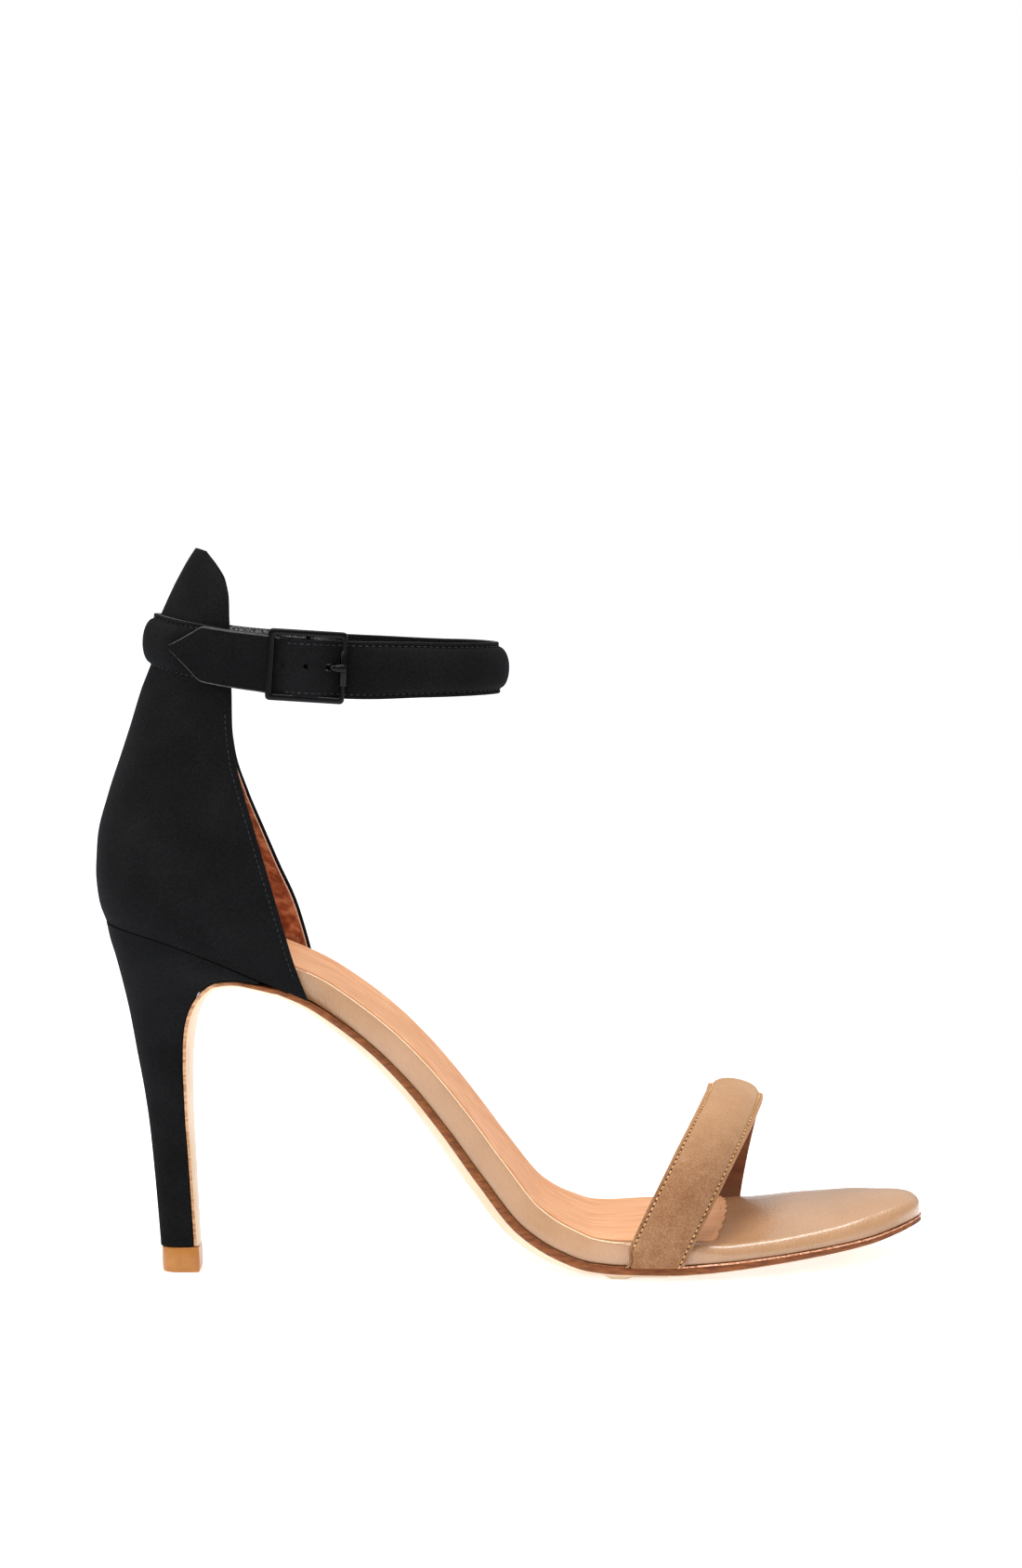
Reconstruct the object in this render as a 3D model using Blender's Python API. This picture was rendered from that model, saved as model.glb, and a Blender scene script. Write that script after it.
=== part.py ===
"""Ankle strap sandal, right foot, women's size EU 38, modelled at its real size.

The toe points along +X, the inner side of the foot is +Y and +Z is up. Sizes are in
millimetres until the meshes are made. The shoe is built on one curve, the feather
line, where the insole board meets the outsole. Every section of the sole, the heel
and the closed back starts from that line and from the outline of the sole. At the
end everything moves a little, so that the origin is under the middle of the shoe.
"""
import math

import bmesh
import bpy
import numpy as np
from mathutils import Matrix

MM = 0.001
NAME = "ankle_strap_sandal"

# Clearance between pieces that are glued or stitched together on the real shoe
GAP = 0.3

# Middle of the finished shoe, which moves to the origin
CENTRE_X = -1.76
CENTRE_Y = -0.43

# Overall sizes
TOE_TIP = 108.2
HEEL_BACK = -110.0
SEAT_MIDDLE = -78.0
SEAT_HALF_WIDTH = 26.5
SEAT_ROUNDNESS = 2.3
SEAT_AXIS = -1.0
WALL = 1.8
SOCK_THICKNESS = 0.8
SOCK_FRONT = 56.0
TOP_PIECE_HEIGHT = 6.9

# The feather line and what lies on it, from the toe to the heel. z is the height of
# the line, lateral and medial the edges of the sole, rand the height of the insole's
# side, pad its crown (a hollow where negative), corner the rounding of its upper
# edge, inset how far it stands back from the sole's edge, edge the thickness of the
# outsole at its rim and belly how much thicker it is inside the rim.
SOLE_COLUMNS = ("x", "z", "lateral", "medial", "rand", "pad", "corner", "inset", "edge", "belly")
SOLE_ROWS = (
    (108.2, 11.2, -6.0, -2.2, 3.6, 0.3, 1.4, 0.8, 1.2, 0.5),
    (107.6, 11.0, -8.9, 0.8, 4.7, 0.6, 1.9, 0.8, 1.2, 0.5),
    (106.6, 10.7, -11.4, 3.4, 5.3, 1.1, 2.3, 0.8, 1.3, 0.5),
    (104.5, 10.2, -14.6, 6.8, 5.8, 1.7, 2.8, 0.8, 1.4, 0.5),
    (100.0, 9.3, -19.2, 12.2, 6.1, 2.5, 3.4, 0.8, 1.5, 0.6),
    (93.0, 7.9, -24.6, 19.2, 5.9, 3.1, 3.6, 0.8, 1.7, 0.7),
    (85.0, 7.0, -29.4, 25.8, 5.3, 3.4, 3.6, 0.8, 1.9, 0.8),
    (75.0, 6.2, -34.2, 32.0, 4.9, 3.5, 3.4, 0.8, 2.0, 0.9),
    (65.0, 5.5, -37.8, 36.0, 4.7, 3.3, 3.2, 0.8, 2.0, 1.0),
    (55.0, 4.8, -39.6, 38.2, 4.7, 2.8, 2.8, 0.8, 2.0, 1.1),
    (47.0, 4.4, -40.0, 37.8, 5.3, 2.2, 2.2, 0.8, 2.0, 1.2),
    (40.0, 4.1, -39.7, 36.6, 5.8, 1.6, 1.7, 0.8, 2.0, 1.2),
    (32.0, 4.1, -38.3, 34.4, 6.1, 0.9, 1.4, 0.8, 2.0, 1.2),
    (25.0, 4.1, -36.4, 31.6, 6.3, 0.2, 1.3, 0.8, 2.0, 1.3),
    (18.0, 4.6, -34.0, 28.4, 6.6, -0.4, 1.2, 0.8, 1.9, 1.7),
    (9.5, 7.5, -31.4, 25.0, 7.0, -0.8, 1.2, 0.8, 1.8, 2.4),
    (0.0, 13.8, -29.2, 21.6, 7.0, -1.0, 1.2, 0.8, 1.7, 3.0),
    (-10.0, 26.8, -27.8, 19.0, 7.0, -1.0, 1.2, 0.8, 1.6, 3.2),
    (-19.5, 40.6, -27.2, 18.2, 6.9, -1.0, 1.2, 0.8, 1.5, 3.0),
    (-29.0, 53.0, -27.0, 18.2, 6.8, -1.0, 1.2, 0.8, 1.4, 2.7),
    (-38.5, 63.0, -27.0, 18.8, 6.7, -1.1, 1.2, 0.8, 1.3, 2.6),
    (-48.0, 70.8, -27.1, 20.4, 6.6, -1.2, 1.2, 1.8, 1.3, 2.3),
    (-55.2, 75.6, -27.3, 22.0, 6.6, -1.3, 1.2, 2.9, 1.2, 2.0),
    (-62.5, 79.0, -27.5, 23.8, 6.5, -1.4, 1.2, 2.8, 1.2, 1.7),
    (-68.7, 81.7, -27.5, 24.8, 6.4, -1.5, 1.2, 2.5, 1.2, 1.4),
    (-78.0, 86.0, -27.5, 25.5, 6.2, -1.5, 1.2, 2.2, 1.2, 1.4),
    (-87.2, 89.8, -27.5, 25.5, 6.0, -1.5, 1.2, 2.2, 1.2, 1.4),
    (-98.0, 93.4, -27.5, 25.5, 5.6, -1.2, 1.2, 2.2, 1.2, 1.4),
    (-110.0, 96.2, -27.5, 25.5, 5.0, -0.8, 1.2, 2.2, 1.2, 1.4),
)
# Where the sole lies flat on the floor under the ball of the foot
FLAT_FROM = 22.0
FLAT_TO = 42.0

# The front of the heel, down which the outsole carries on as a thin flap
BREAST_COLUMNS = ("x", "z", "edge", "belly")
BREAST_ROWS = (
    (-62.5, 78.85, 1.2, 1.7),
    (-68.5, 80.3, 1.1, 1.5),
    (-74.5, 81.2, 1.0, 1.4),
    (-79.6, 80.6, 1.0, 1.4),
    (-83.6, 78.2, 1.0, 1.4),
    (-86.3, 75.0, 1.0, 1.4),
    (-88.2, 71.3, 1.0, 1.3),
    (-89.4, 67.0, 1.0, 1.2),
    (-90.1, 61.0, 1.0, 1.0),
    (-90.4, 53.0, 0.9, 0.9),
    (-90.4, 43.0, 0.9, 0.8),
    (-90.1, 33.0, 0.9, 0.8),
    (-89.8, 22.5, 0.9, 0.7),
    (-89.4, 7.2, 0.9, 0.7),
)

# The heel block, a row for each slanted section: its back point, how far down the
# breast its front lies, its two sides and how square its back corners are
HEEL_COLUMNS = ("back_x", "back_z", "down", "lateral", "medial", "roundness")
HEEL_ROWS = (
    (-109.9, 96.0, 5.0, -27.2, 24.6, 2.7),
    (-109.2, 92.0, 10.5, -25.9, 23.6, 2.6),
    (-107.9, 87.0, 16.0, -23.4, 21.2, 2.5),
    (-106.7, 81.5, 21.0, -20.2, 18.0, 2.4),
    (-105.5, 75.5, 26.0, -17.0, 14.9, 2.3),
    (-104.4, 69.0, 32.0, -14.3, 12.2, 2.2),
    (-103.1, 60.0, 41.5, -11.6, 9.6, 2.2),
    (-101.6, 50.0, 51.8, -9.7, 7.7, 2.2),
    (-100.5, 40.0, 61.8, -8.4, 6.5, 2.2),
    (-99.8, 30.0, 71.8, -7.5, 5.6, 2.3),
    (-99.2, 19.5, 82.3, -6.8, 4.9, 2.4),
    (-98.6, 7.2, 94.6, -6.3, 4.3, 2.6),
)

# The closed back, a row for each level from the feather line to the tip of its tab:
# the back point, the two front edges, how far its plan has gone over from the seat's
# outline to the ankle strap's ring, and how narrow it is drawn in
BACK_COLUMNS = ("back_x", "back_z", "near_x", "near_z", "far_x", "far_z", "ankle", "narrow")
BACK_ROWS = (
    (-110.0, 96.4, -54.8, 75.4, -54.8, 75.4, 0.00, 1.00),
    (-111.7, 101.5, -57.8, 84.0, -56.6, 84.6, -0.05, 1.00),
    (-112.3, 108.4, -61.0, 96.0, -59.8, 97.0, -0.03, 1.00),
    (-111.6, 118.5, -64.3, 108.5, -64.1, 107.5, 0.10, 1.00),
    (-109.0, 128.4, -67.2, 119.3, -68.2, 118.0, 0.26, 1.00),
    (-105.4, 138.4, -70.0, 129.5, -72.0, 128.0, 0.46, 1.00),
    (-101.4, 149.5, -72.4, 140.5, -75.2, 139.0, 0.70, 1.00),
    (-98.6, 158.0, -73.1, 150.5, -76.2, 149.5, 0.88, 1.00),
    (-96.6, 162.5, -73.1, 157.5, -76.4, 156.5, 0.97, 1.00),
    (-94.9, 167.0, -73.1, 163.5, -76.4, 162.5, 1.00, 1.00),
    (-94.0, 174.0, -73.1, 170.0, -76.2, 169.5, 1.00, 1.00),
    (-91.8, 179.5, -73.1, 176.0, -75.8, 176.0, 1.00, 0.97),
    (-89.4, 184.4, -73.3, 181.2, -75.6, 181.4, 1.00, 0.90),
    (-86.8, 188.9, -74.2, 186.4, -76.2, 186.6, 1.00, 0.76),
    (-84.6, 192.6, -76.2, 190.4, -77.8, 190.5, 1.00, 0.57),
    (-82.8, 195.2, -79.0, 193.9, -79.8, 194.0, 1.00, 0.31),
)
# How far up its levels still bend with the seat, and the depth of its front edges
# measured from the back of the ankle strap's ring
SEAT_BLEND = 25.0
CROSSING_DEPTH = 21.0

# The ankle strap: an oval ring, its height along the shoe, and its lap past the buckle
RING_X = -48.6
RING_Y = -1.0
RING_HALF_LENGTH = 45.1
RING_HALF_WIDTH = 21.0
RING_SUNK = 0.8
RING_HEIGHT_COLUMNS = ("x", "z")
RING_HEIGHT_ROWS = (
    (-97.0, 172.1), (-85.0, 169.0), (-72.0, 166.4), (-53.0, 164.3),
    (-35.0, 162.9), (-16.0, 161.7), (2.0, 161.3),
)
RING_CROSS_FALL = 0.017
RING_BACK_LEAN = 0.10
STRAP_WIDTH = 15.2
STRAP_EDGE = 1.4
STRAP_ROLL = 2.6
ROLL_HALF_WIDTH = 5.4
# Going round from the outer side to the back, the inner side, the front and on to the
# tip: how far the strap stands off the ring, how thick its flanges are, how full its
# roll is, and half its width
STRAP_COLUMNS = ("angle", "off", "edge", "roll", "half_width")
STRAP_ROWS = (
    (14.0, 0.45, 0.9, 0.0, 7.5),
    (22.0, 0.00, 1.3, 0.0, 7.6),
    (46.0, 0.00, 1.4, 0.15, 7.6),
    (64.0, 0.00, 1.4, 1.0, 7.4),
    (230.0, 0.00, 1.4, 1.0, 7.3),
    (270.0, 0.00, 1.4, 1.0, 6.9),
    (310.0, 0.00, 1.4, 1.0, 7.1),
    (330.0, 0.00, 1.4, 0.9, 7.4),
    (344.0, 0.30, 1.4, 0.35, 7.6),
    (352.0, 0.60, 1.4, 0.0, 7.6),
    (359.0, 2.30, 1.3, 0.0, 7.6),
    (365.0, 3.60, 1.3, 0.0, 7.6),
    (370.0, 3.10, 1.3, 0.0, 7.6),
    (376.0, 2.00, 1.3, 0.0, 7.6),
    (381.0, 1.85, 1.3, 0.0, 7.6),
    (396.0, 1.85, 1.3, 0.0, 7.5),
    (409.0, 2.35, 1.3, 0.0, 7.3),
    (412.0, 2.55, 1.3, 0.0, 7.2),
    (417.0, 3.10, 1.3, 0.0, 5.0),
    (421.5, 3.70, 1.3, 0.0, 2.7),
    (426.5, 4.40, 1.3, 0.0, 0.5),
)
STRAP_STEP = 6.0

# The buckle lies flat against the outer side of the ring
BUCKLE_X = -52.5
BUCKLE_Y = -25.6
BUCKLE_Z = 164.2
BUCKLE_TILT = math.radians(5.2)
BUCKLE_LENGTH = 20.9
BUCKLE_HEIGHT = 19.0
BUCKLE_SIDE = 1.8
BUCKLE_RAIL = 1.4
BUCKLE_DEPTH = 1.6
CENTRE_BAR_BACK = 2.2
CENTRE_BAR_RADIUS = 0.75
BAR_EAR_WIDTH = 1.7
CORNER_OUTSIDE = 1.6
CORNER_INSIDE = 0.7

# The strap's start is folded round the centre bar. The prong's eye goes through a
# slot in the fold, its shank through a hole in the strap. Slot and hole are length
# along the strap, depth and height, each with its distance from the bar.
LOOP_THICKNESS = 0.8
LOOP_HALF_WIDTH = 7.3
LOOP_CLEARANCE = 0.25
LOOP_TAIL = 5.0
PRONG_RADIUS = 0.45
PRONG_RING = 1.45
PRONG_HOLE = (4.0, 6.0, 2.0)
PRONG_HOLE_X = 5.7
PRONG_SLOT = (5.7, 5.2, 2.6)
PRONG_SLOT_X = -0.45

# The toe strap, a row for each place along the inside of its arch. lean is how far
# its front edge tips down, turn how far the edge follows the sole's outline.
TOE_STRAP_COLUMNS = ("x", "y", "z", "lean", "turn", "roll")
TOE_STRAP_ROWS = (
    (31.6, -38.0, -0.5, 27.0, -0.14, 0.35),
    (34.4, -38.5, 5.0, 27.0, -0.14, 0.45),
    (38.0, -39.2, 12.5, 27.0, -0.11, 0.85),
    (43.2, -38.0, 22.5, 27.0, -0.06, 1.0),
    (48.9, -32.0, 32.3, 26.0, 0.0, 1.0),
    (53.8, -21.0, 39.2, 21.0, 0.0, 1.0),
    (57.0, -8.0, 42.8, 16.0, 0.0, 1.0),
    (58.2, 6.0, 43.0, 13.0, 0.0, 1.0),
    (57.9, 18.5, 39.4, 12.0, 0.0, 1.0),
    (56.5, 29.0, 31.6, 12.0, 0.0, 1.0),
    (54.6, 36.0, 22.0, 12.0, 0.0, 1.0),
    (52.8, 38.4, 12.5, 12.0, 0.0, 0.85),
    (51.6, 37.9, 5.0, 12.0, 0.0, 0.45),
    (50.8, 37.6, -0.5, 12.0, 0.0, 0.35),
)

# Colour as linear red, green and blue, then roughness and metallic
FINISHES = {
    "sole_leather": ((0.84, 0.74, 0.58), 0.55, 0.0),
    "taupe_leather": ((0.41, 0.24, 0.14), 0.40, 0.0),
    "sock_leather": ((0.72, 0.40, 0.25), 0.55, 0.0),
    "black_suede": ((0.010, 0.010, 0.011), 0.95, 0.0),
    "tan_suede": ((0.45, 0.25, 0.13), 0.95, 0.0),
    "top_piece_rubber": ((0.42, 0.15, 0.03), 0.35, 0.0),
    "black_metal": ((0.015, 0.015, 0.016), 0.30, 1.0),
}


def smooth(keys, values):
    """Return a curve that passes the rows without overshooting them."""
    x = np.asarray(keys, float)
    y = np.asarray(values, float)
    if x[0] > x[-1]:
        x = x[::-1]
        y = y[::-1]
    step = np.diff(x)
    slope = np.diff(y) / step
    tangent = np.zeros(len(x))
    tangent[0] = slope[0]
    tangent[-1] = slope[-1]
    for i in range(1, len(x) - 1):
        if slope[i - 1] * slope[i] > 0:
            before = 2 * step[i] + step[i - 1]
            after = step[i] + 2 * step[i - 1]
            tangent[i] = (before + after) / (before / slope[i - 1] + after / slope[i])

    def value(at):
        at = np.clip(at, x[0], x[-1])
        i = np.clip(np.searchsorted(x, at, side="right") - 1, 0, len(step) - 1)
        t = (at - x[i]) / step[i]
        low = y[i] * (1 + 2 * t) * (1 - t) ** 2 + tangent[i] * step[i] * t * (1 - t) ** 2
        high = y[i + 1] * t * t * (3 - 2 * t) + tangent[i + 1] * step[i] * t * t * (t - 1)
        return low + high

    return value


def chord_lengths(points):
    """Distance along a run of points to each of them."""
    steps = np.linalg.norm(np.diff(np.asarray(points, float), axis=0), axis=1)
    return np.concatenate(([0.0], np.cumsum(steps)))


def columns_by(keys, names, rows):
    """A smooth curve for each column of a table, over the given keys."""
    table = np.array(rows, float)
    return {name: smooth(keys, table[:, i]) for i, name in enumerate(names)}


def columns_of(names, rows):
    """A smooth curve for each column of a table, over its first column."""
    return columns_by([row[0] for row in rows], names, rows)


SOLE = columns_of(SOLE_COLUMNS, SOLE_ROWS)
BREAST_KEYS = chord_lengths([row[:2] for row in BREAST_ROWS])
BREAST = columns_by(BREAST_KEYS, BREAST_COLUMNS, BREAST_ROWS)
HEEL = columns_by([row[2] for row in HEEL_ROWS], HEEL_COLUMNS, HEEL_ROWS)
BACK_KEYS = chord_lengths([row[:2] for row in BACK_ROWS])
BACK = columns_by(BACK_KEYS, BACK_COLUMNS, BACK_ROWS)
RING_HEIGHT = columns_of(RING_HEIGHT_COLUMNS, RING_HEIGHT_ROWS)
STRAP = columns_of(STRAP_COLUMNS, STRAP_ROWS)


def seat_half_width(x, inset):
    """Half the width of the heel seat, an oval that narrows to the back."""
    length = SEAT_MIDDLE - HEEL_BACK - inset
    along = min(max((SEAT_MIDDLE - x) / length, 0.0), 1.0)
    across = (1.0 - along ** SEAT_ROUNDNESS) ** (1.0 / SEAT_ROUNDNESS)
    return (SEAT_HALF_WIDTH - inset) * across


def outline(x, inset):
    """Lateral and medial edge of the sole at x, drawn in by inset."""
    if x < SEAT_MIDDLE:
        half = seat_half_width(x, inset)
        return SEAT_AXIS - half, SEAT_AXIS + half
    toe_start = 90.0
    if x > toe_start:
        x = toe_start + (x - toe_start) * (TOE_TIP - toe_start) / (TOE_TIP - toe_start - inset)
    return SOLE["lateral"](x) + inset, SOLE["medial"](x) - inset


def normals_of(path):
    """Unit normal of a side-view path that runs from the toe back, pointing up."""
    run = np.gradient(np.asarray(path, float), axis=0)
    run /= np.linalg.norm(run, axis=1)[:, None]
    return np.column_stack((run[:, 1], -run[:, 0]))


def end_spacing(start, stop, step):
    """Places from start to stop, closer together near start."""
    total = abs(stop - start)
    near = [0.0, 0.25, 0.8, 1.7, 3.0, 4.8, 7.2, 10.5]
    rest = np.linspace(14.5, total, max(2, int(round((total - 14.5) / step)) + 1))
    places = np.concatenate((near, rest))
    return start + math.copysign(1.0, stop - start) * places


def make_collection(name):
    """Add a collection to the scene."""
    group = bpy.data.collections.new(name)
    bpy.context.scene.collection.children.link(group)
    return group


def make_material(name):
    """A Principled material with the finish's colour, roughness and metallic value."""
    colour, roughness, metallic = FINISHES[name]
    material = bpy.data.materials.new(name)
    material.use_nodes = True
    shader = material.node_tree.nodes["Principled BSDF"]
    shader.inputs["Base Color"].default_value = (*colour, 1.0)
    shader.inputs["Roughness"].default_value = roughness
    shader.inputs["Metallic"].default_value = metallic
    material.diffuse_color = (*colour, 1.0)
    return material


def add_object(name, mesh, group, material=None):
    """Put a mesh into a collection as an object."""
    thing = bpy.data.objects.new(name, mesh)
    if material is not None:
        mesh.materials.append(material)
    group.objects.link(thing)
    return thing


def mesh_from(name, points, faces):
    """A closed mesh in metres from points in millimetres, its faces pointing out."""
    mesh = bpy.data.meshes.new(name)
    mesh.from_pydata([tuple(float(v) * MM for v in p) for p in points], [], faces)
    shape = bmesh.new()
    shape.from_mesh(mesh)
    bmesh.ops.recalc_face_normals(shape, faces=shape.faces)
    if shape.calc_volume(signed=True) < 0:
        bmesh.ops.reverse_faces(shape, faces=shape.faces)
    shape.to_mesh(mesh)
    shape.free()
    mesh.shade_smooth()
    mesh.set_sharp_from_angle(angle=math.radians(38.0))
    return mesh


def loft_mesh(name, rings, ladder=True):
    """Join rings of equal count into a closed body. In a ladder a ring's point i faces
    its point from the end, so that a cap of narrow faces follows a bent ring."""
    count = len(rings[0])
    points = [p for ring in rings for p in ring]
    faces = []
    for r in range(len(rings) - 1):
        low = r * count
        high = low + count
        for i in range(count):
            j = (i + 1) % count
            faces.append((low + i, low + j, high + j, high + i))
    for base in (0, (len(rings) - 1) * count):
        if not ladder:
            faces.append(tuple(range(base, base + count)))
            continue
        for i in range(count // 2 - 1):
            a = i
            b = count - 1 - i
            faces.append((base + a, base + a + 1, base + b - 1, base + b))
        if count % 2:
            middle = count // 2
            faces.append((base + middle - 1, base + middle, base + middle + 1))
    return mesh_from(name, points, faces)


def sheet_mesh(name, outer, inner):
    """Close two grids of the same size, the faces of one wall, along their four edges."""
    rows, cols = outer.shape[:2]
    points = list(outer.reshape(-1, 3)) + list(inner.reshape(-1, 3))
    size = rows * cols
    faces = []
    for r in range(rows - 1):
        for c in range(cols - 1):
            a = r * cols + c
            faces.append((a, a + 1, a + cols + 1, a + cols))
            faces.append((size + a, size + a + cols, size + a + cols + 1, size + a + 1))
    border = [c for c in range(cols)]
    border += [r * cols + cols - 1 for r in range(1, rows)]
    border += [(rows - 1) * cols + c for c in range(cols - 2, -1, -1)]
    border += [r * cols for r in range(rows - 2, 0, -1)]
    for i, a in enumerate(border):
        b = border[(i + 1) % len(border)]
        faces.append((a, size + a, size + b, b))
    return mesh_from(name, points, faces)


def combine(target, cutter, operation):
    """Boolean a cutter or a joined piece into the target, keeping the result only."""
    change = target.modifiers.new(operation.lower(), "BOOLEAN")
    change.operation = operation
    change.solver = "EXACT"
    change.object = cutter
    cutter.hide_render = True
    cutter.display_type = "WIRE"


def outsole_section(point, normal, lateral, medial, edge, belly):
    """Flat top, upright rim and an underside that swells inside the rim."""
    middle = (lateral + medial) / 2
    half = (medial - lateral) / 2
    rim = min(6.0, 0.6 * half)
    places = (1.0, 0.95, 0.86, 0.72, 0.45, 0.0)
    ring = []
    for t in (1.0, 0.5, 0.0, -0.5, -1.0):
        ring.append((middle + half * t, -GAP / 2))
    low = []
    for t in places:
        inside = min(1.0, (1.0 - t) * half / rim)
        low.append((t, -edge - belly * (1.0 - (1.0 - inside) ** 2)))
    for t, n in low:
        ring.append((middle - half * t, n))
    for t, n in reversed(low[:-1]):
        ring.append((middle + half * t, n))
    return [(point[0] + normal[0] * n, y, point[1] + normal[1] * n) for y, n in ring]


def sole_stations():
    """Places along the sole, from the toe to the heel's breast."""
    split = BREAST_ROWS[0][0]
    return end_spacing(TOE_TIP, split, 5.6)


def make_outsole(group, material):
    """Thin leather sole that carries on down the front of the heel."""
    xs = sole_stations()
    front = [(x, float(SOLE["z"](x))) for x in xs]
    downs = list(np.arange(3.5, 48.0, 3.2)) + list(np.linspace(50.0, BREAST_KEYS[-1], 8))
    flap = [(float(BREAST["x"](d)), float(BREAST["z"](d))) for d in downs]
    path = front + flap
    normals = normals_of(path)
    rings = []
    for i, x in enumerate(xs):
        lateral, medial = outline(x, 0.0)
        ring = outsole_section(path[i], normals[i], lateral, medial,
                               SOLE["edge"](x), SOLE["belly"](x))
        rings.append(ring)
    split_lateral, split_medial = outline(xs[-1], 0.0)
    first_down = HEEL_ROWS[0][2]
    for k, down in enumerate(downs):
        i = len(front) + k
        reach = min(1.0, down / first_down)
        lateral = split_lateral + (HEEL["lateral"](down) - split_lateral) * reach
        medial = split_medial + (HEEL["medial"](down) - split_medial) * reach
        ring = outsole_section(path[i], normals[i], lateral, medial,
                               BREAST["edge"](down), BREAST["belly"](down))
        rings.append(ring)
    flat = []
    for ring in rings:
        level = []
        for x, y, z in ring:
            if FLAT_FROM < x < FLAT_TO and z < 0.9:
                z = 0.0
            level.append((x, y, max(z, 0.0)))
        flat.append(level)
    flat[-1] = [(x, y, TOP_PIECE_HEIGHT + GAP) for x, y, z in flat[-1]]
    return add_object("outsole", loft_mesh("outsole", flat), group, material)


def insole_top(x, across, half, margin):
    """Height of the insole's top above the feather line, across from -1 to 1."""
    flat = max(half - margin, 0.1)
    along = min(abs(across * half) / flat, 1.0)
    return SOLE["rand"](x) + SOLE["pad"](x) * (1.0 - along ** 2)


def insole_section(x, point, normal):
    """Covered board: upright sides, rounded upper corners and a crowned top."""
    inset = float(SOLE["inset"](x))
    lateral, medial = outline(x, inset)
    middle = (lateral + medial) / 2
    half = (medial - lateral) / 2
    rand = float(SOLE["rand"](x))
    corner = min(float(SOLE["corner"](x)), 0.6 * half, 0.8 * rand)
    side = [(0.0, half - 0.3), (0.35 * rand, half)]
    for degrees in (0.0, 30.0, 60.0):
        a = math.radians(degrees)
        side.append((rand - corner * (1.0 - math.sin(a)), half - corner * (1.0 - math.cos(a))))
    for part in (1.0, 0.78, 0.5, 0.25):
        reach = part * (half - corner)
        side.append((float(insole_top(x, reach / half, half, corner)), reach))
    ring = [(middle - y, n) for n, y in side]
    ring.append((middle, float(insole_top(x, 0.0, half, corner))))
    ring += [(middle + y, n) for n, y in reversed(side)]
    lift = GAP / 2
    return [(point[0] + normal[0] * (n + lift), y, point[1] + normal[1] * (n + lift))
            for y, n in ring]


def insole_stations():
    """Places along the insole, closer together at the toe and at the heel."""
    from_toe = end_spacing(TOE_TIP - 0.8, -40.0, 5.6)
    from_heel = end_spacing(HEEL_BACK + 2.25, -44.0, 5.6)
    return list(from_toe) + list(from_heel[::-1])


def make_insole(group, material):
    """Insole board in its taupe cover, padded under the forefoot."""
    xs = insole_stations()
    path = [(x, float(SOLE["z"](x))) for x in xs]
    normals = normals_of(path)
    rings = [insole_section(x, path[i], normals[i]) for i, x in enumerate(xs)]
    return add_object("insole", loft_mesh("insole", rings), group, material)


def make_sock(group, material):
    """Thin lining glued to the insole from the heel to under the toe strap."""
    margin = 1.5
    xs = [x for x in insole_stations() if HEEL_BACK + 4.5 < x < SOCK_FRONT - 2.0]
    xs = [SOCK_FRONT] + xs
    path = [(x, float(SOLE["z"](x))) for x in xs]
    normals = normals_of(path)
    rings = []
    for i, x in enumerate(xs):
        inset = float(SOLE["inset"](x))
        lateral, medial = outline(x, inset)
        corner = float(SOLE["corner"](x))
        half = (medial - lateral) / 2
        middle = (lateral + medial) / 2
        edge_lateral, edge_medial = outline(x, inset + corner + margin)
        reach = min(middle - edge_lateral, edge_medial - middle)
        reach = max(reach, 1.5)
        low = []
        high = []
        for t in (-1.0, -0.75, -0.5, -0.25, 0.0, 0.25, 0.5, 0.75, 1.0):
            n = float(insole_top(x, t * reach / half, half, corner)) + GAP / 2 + GAP
            low.append((middle + t * reach, n))
            high.append((middle + t * reach, n + SOCK_THICKNESS))
        ring = low + high[::-1]
        rings.append([(path[i][0] + normals[i][0] * n, y, path[i][1] + normals[i][1] * n)
                      for y, n in ring])
    return add_object("sock", loft_mesh("sock", rings), group, material)


def rounded_half(u, roundness):
    """Half width of a form from its back point, u 0, to its front, u 1."""
    return (1.0 - (1.0 - u) ** roundness) ** (1.0 / roundness)


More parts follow.
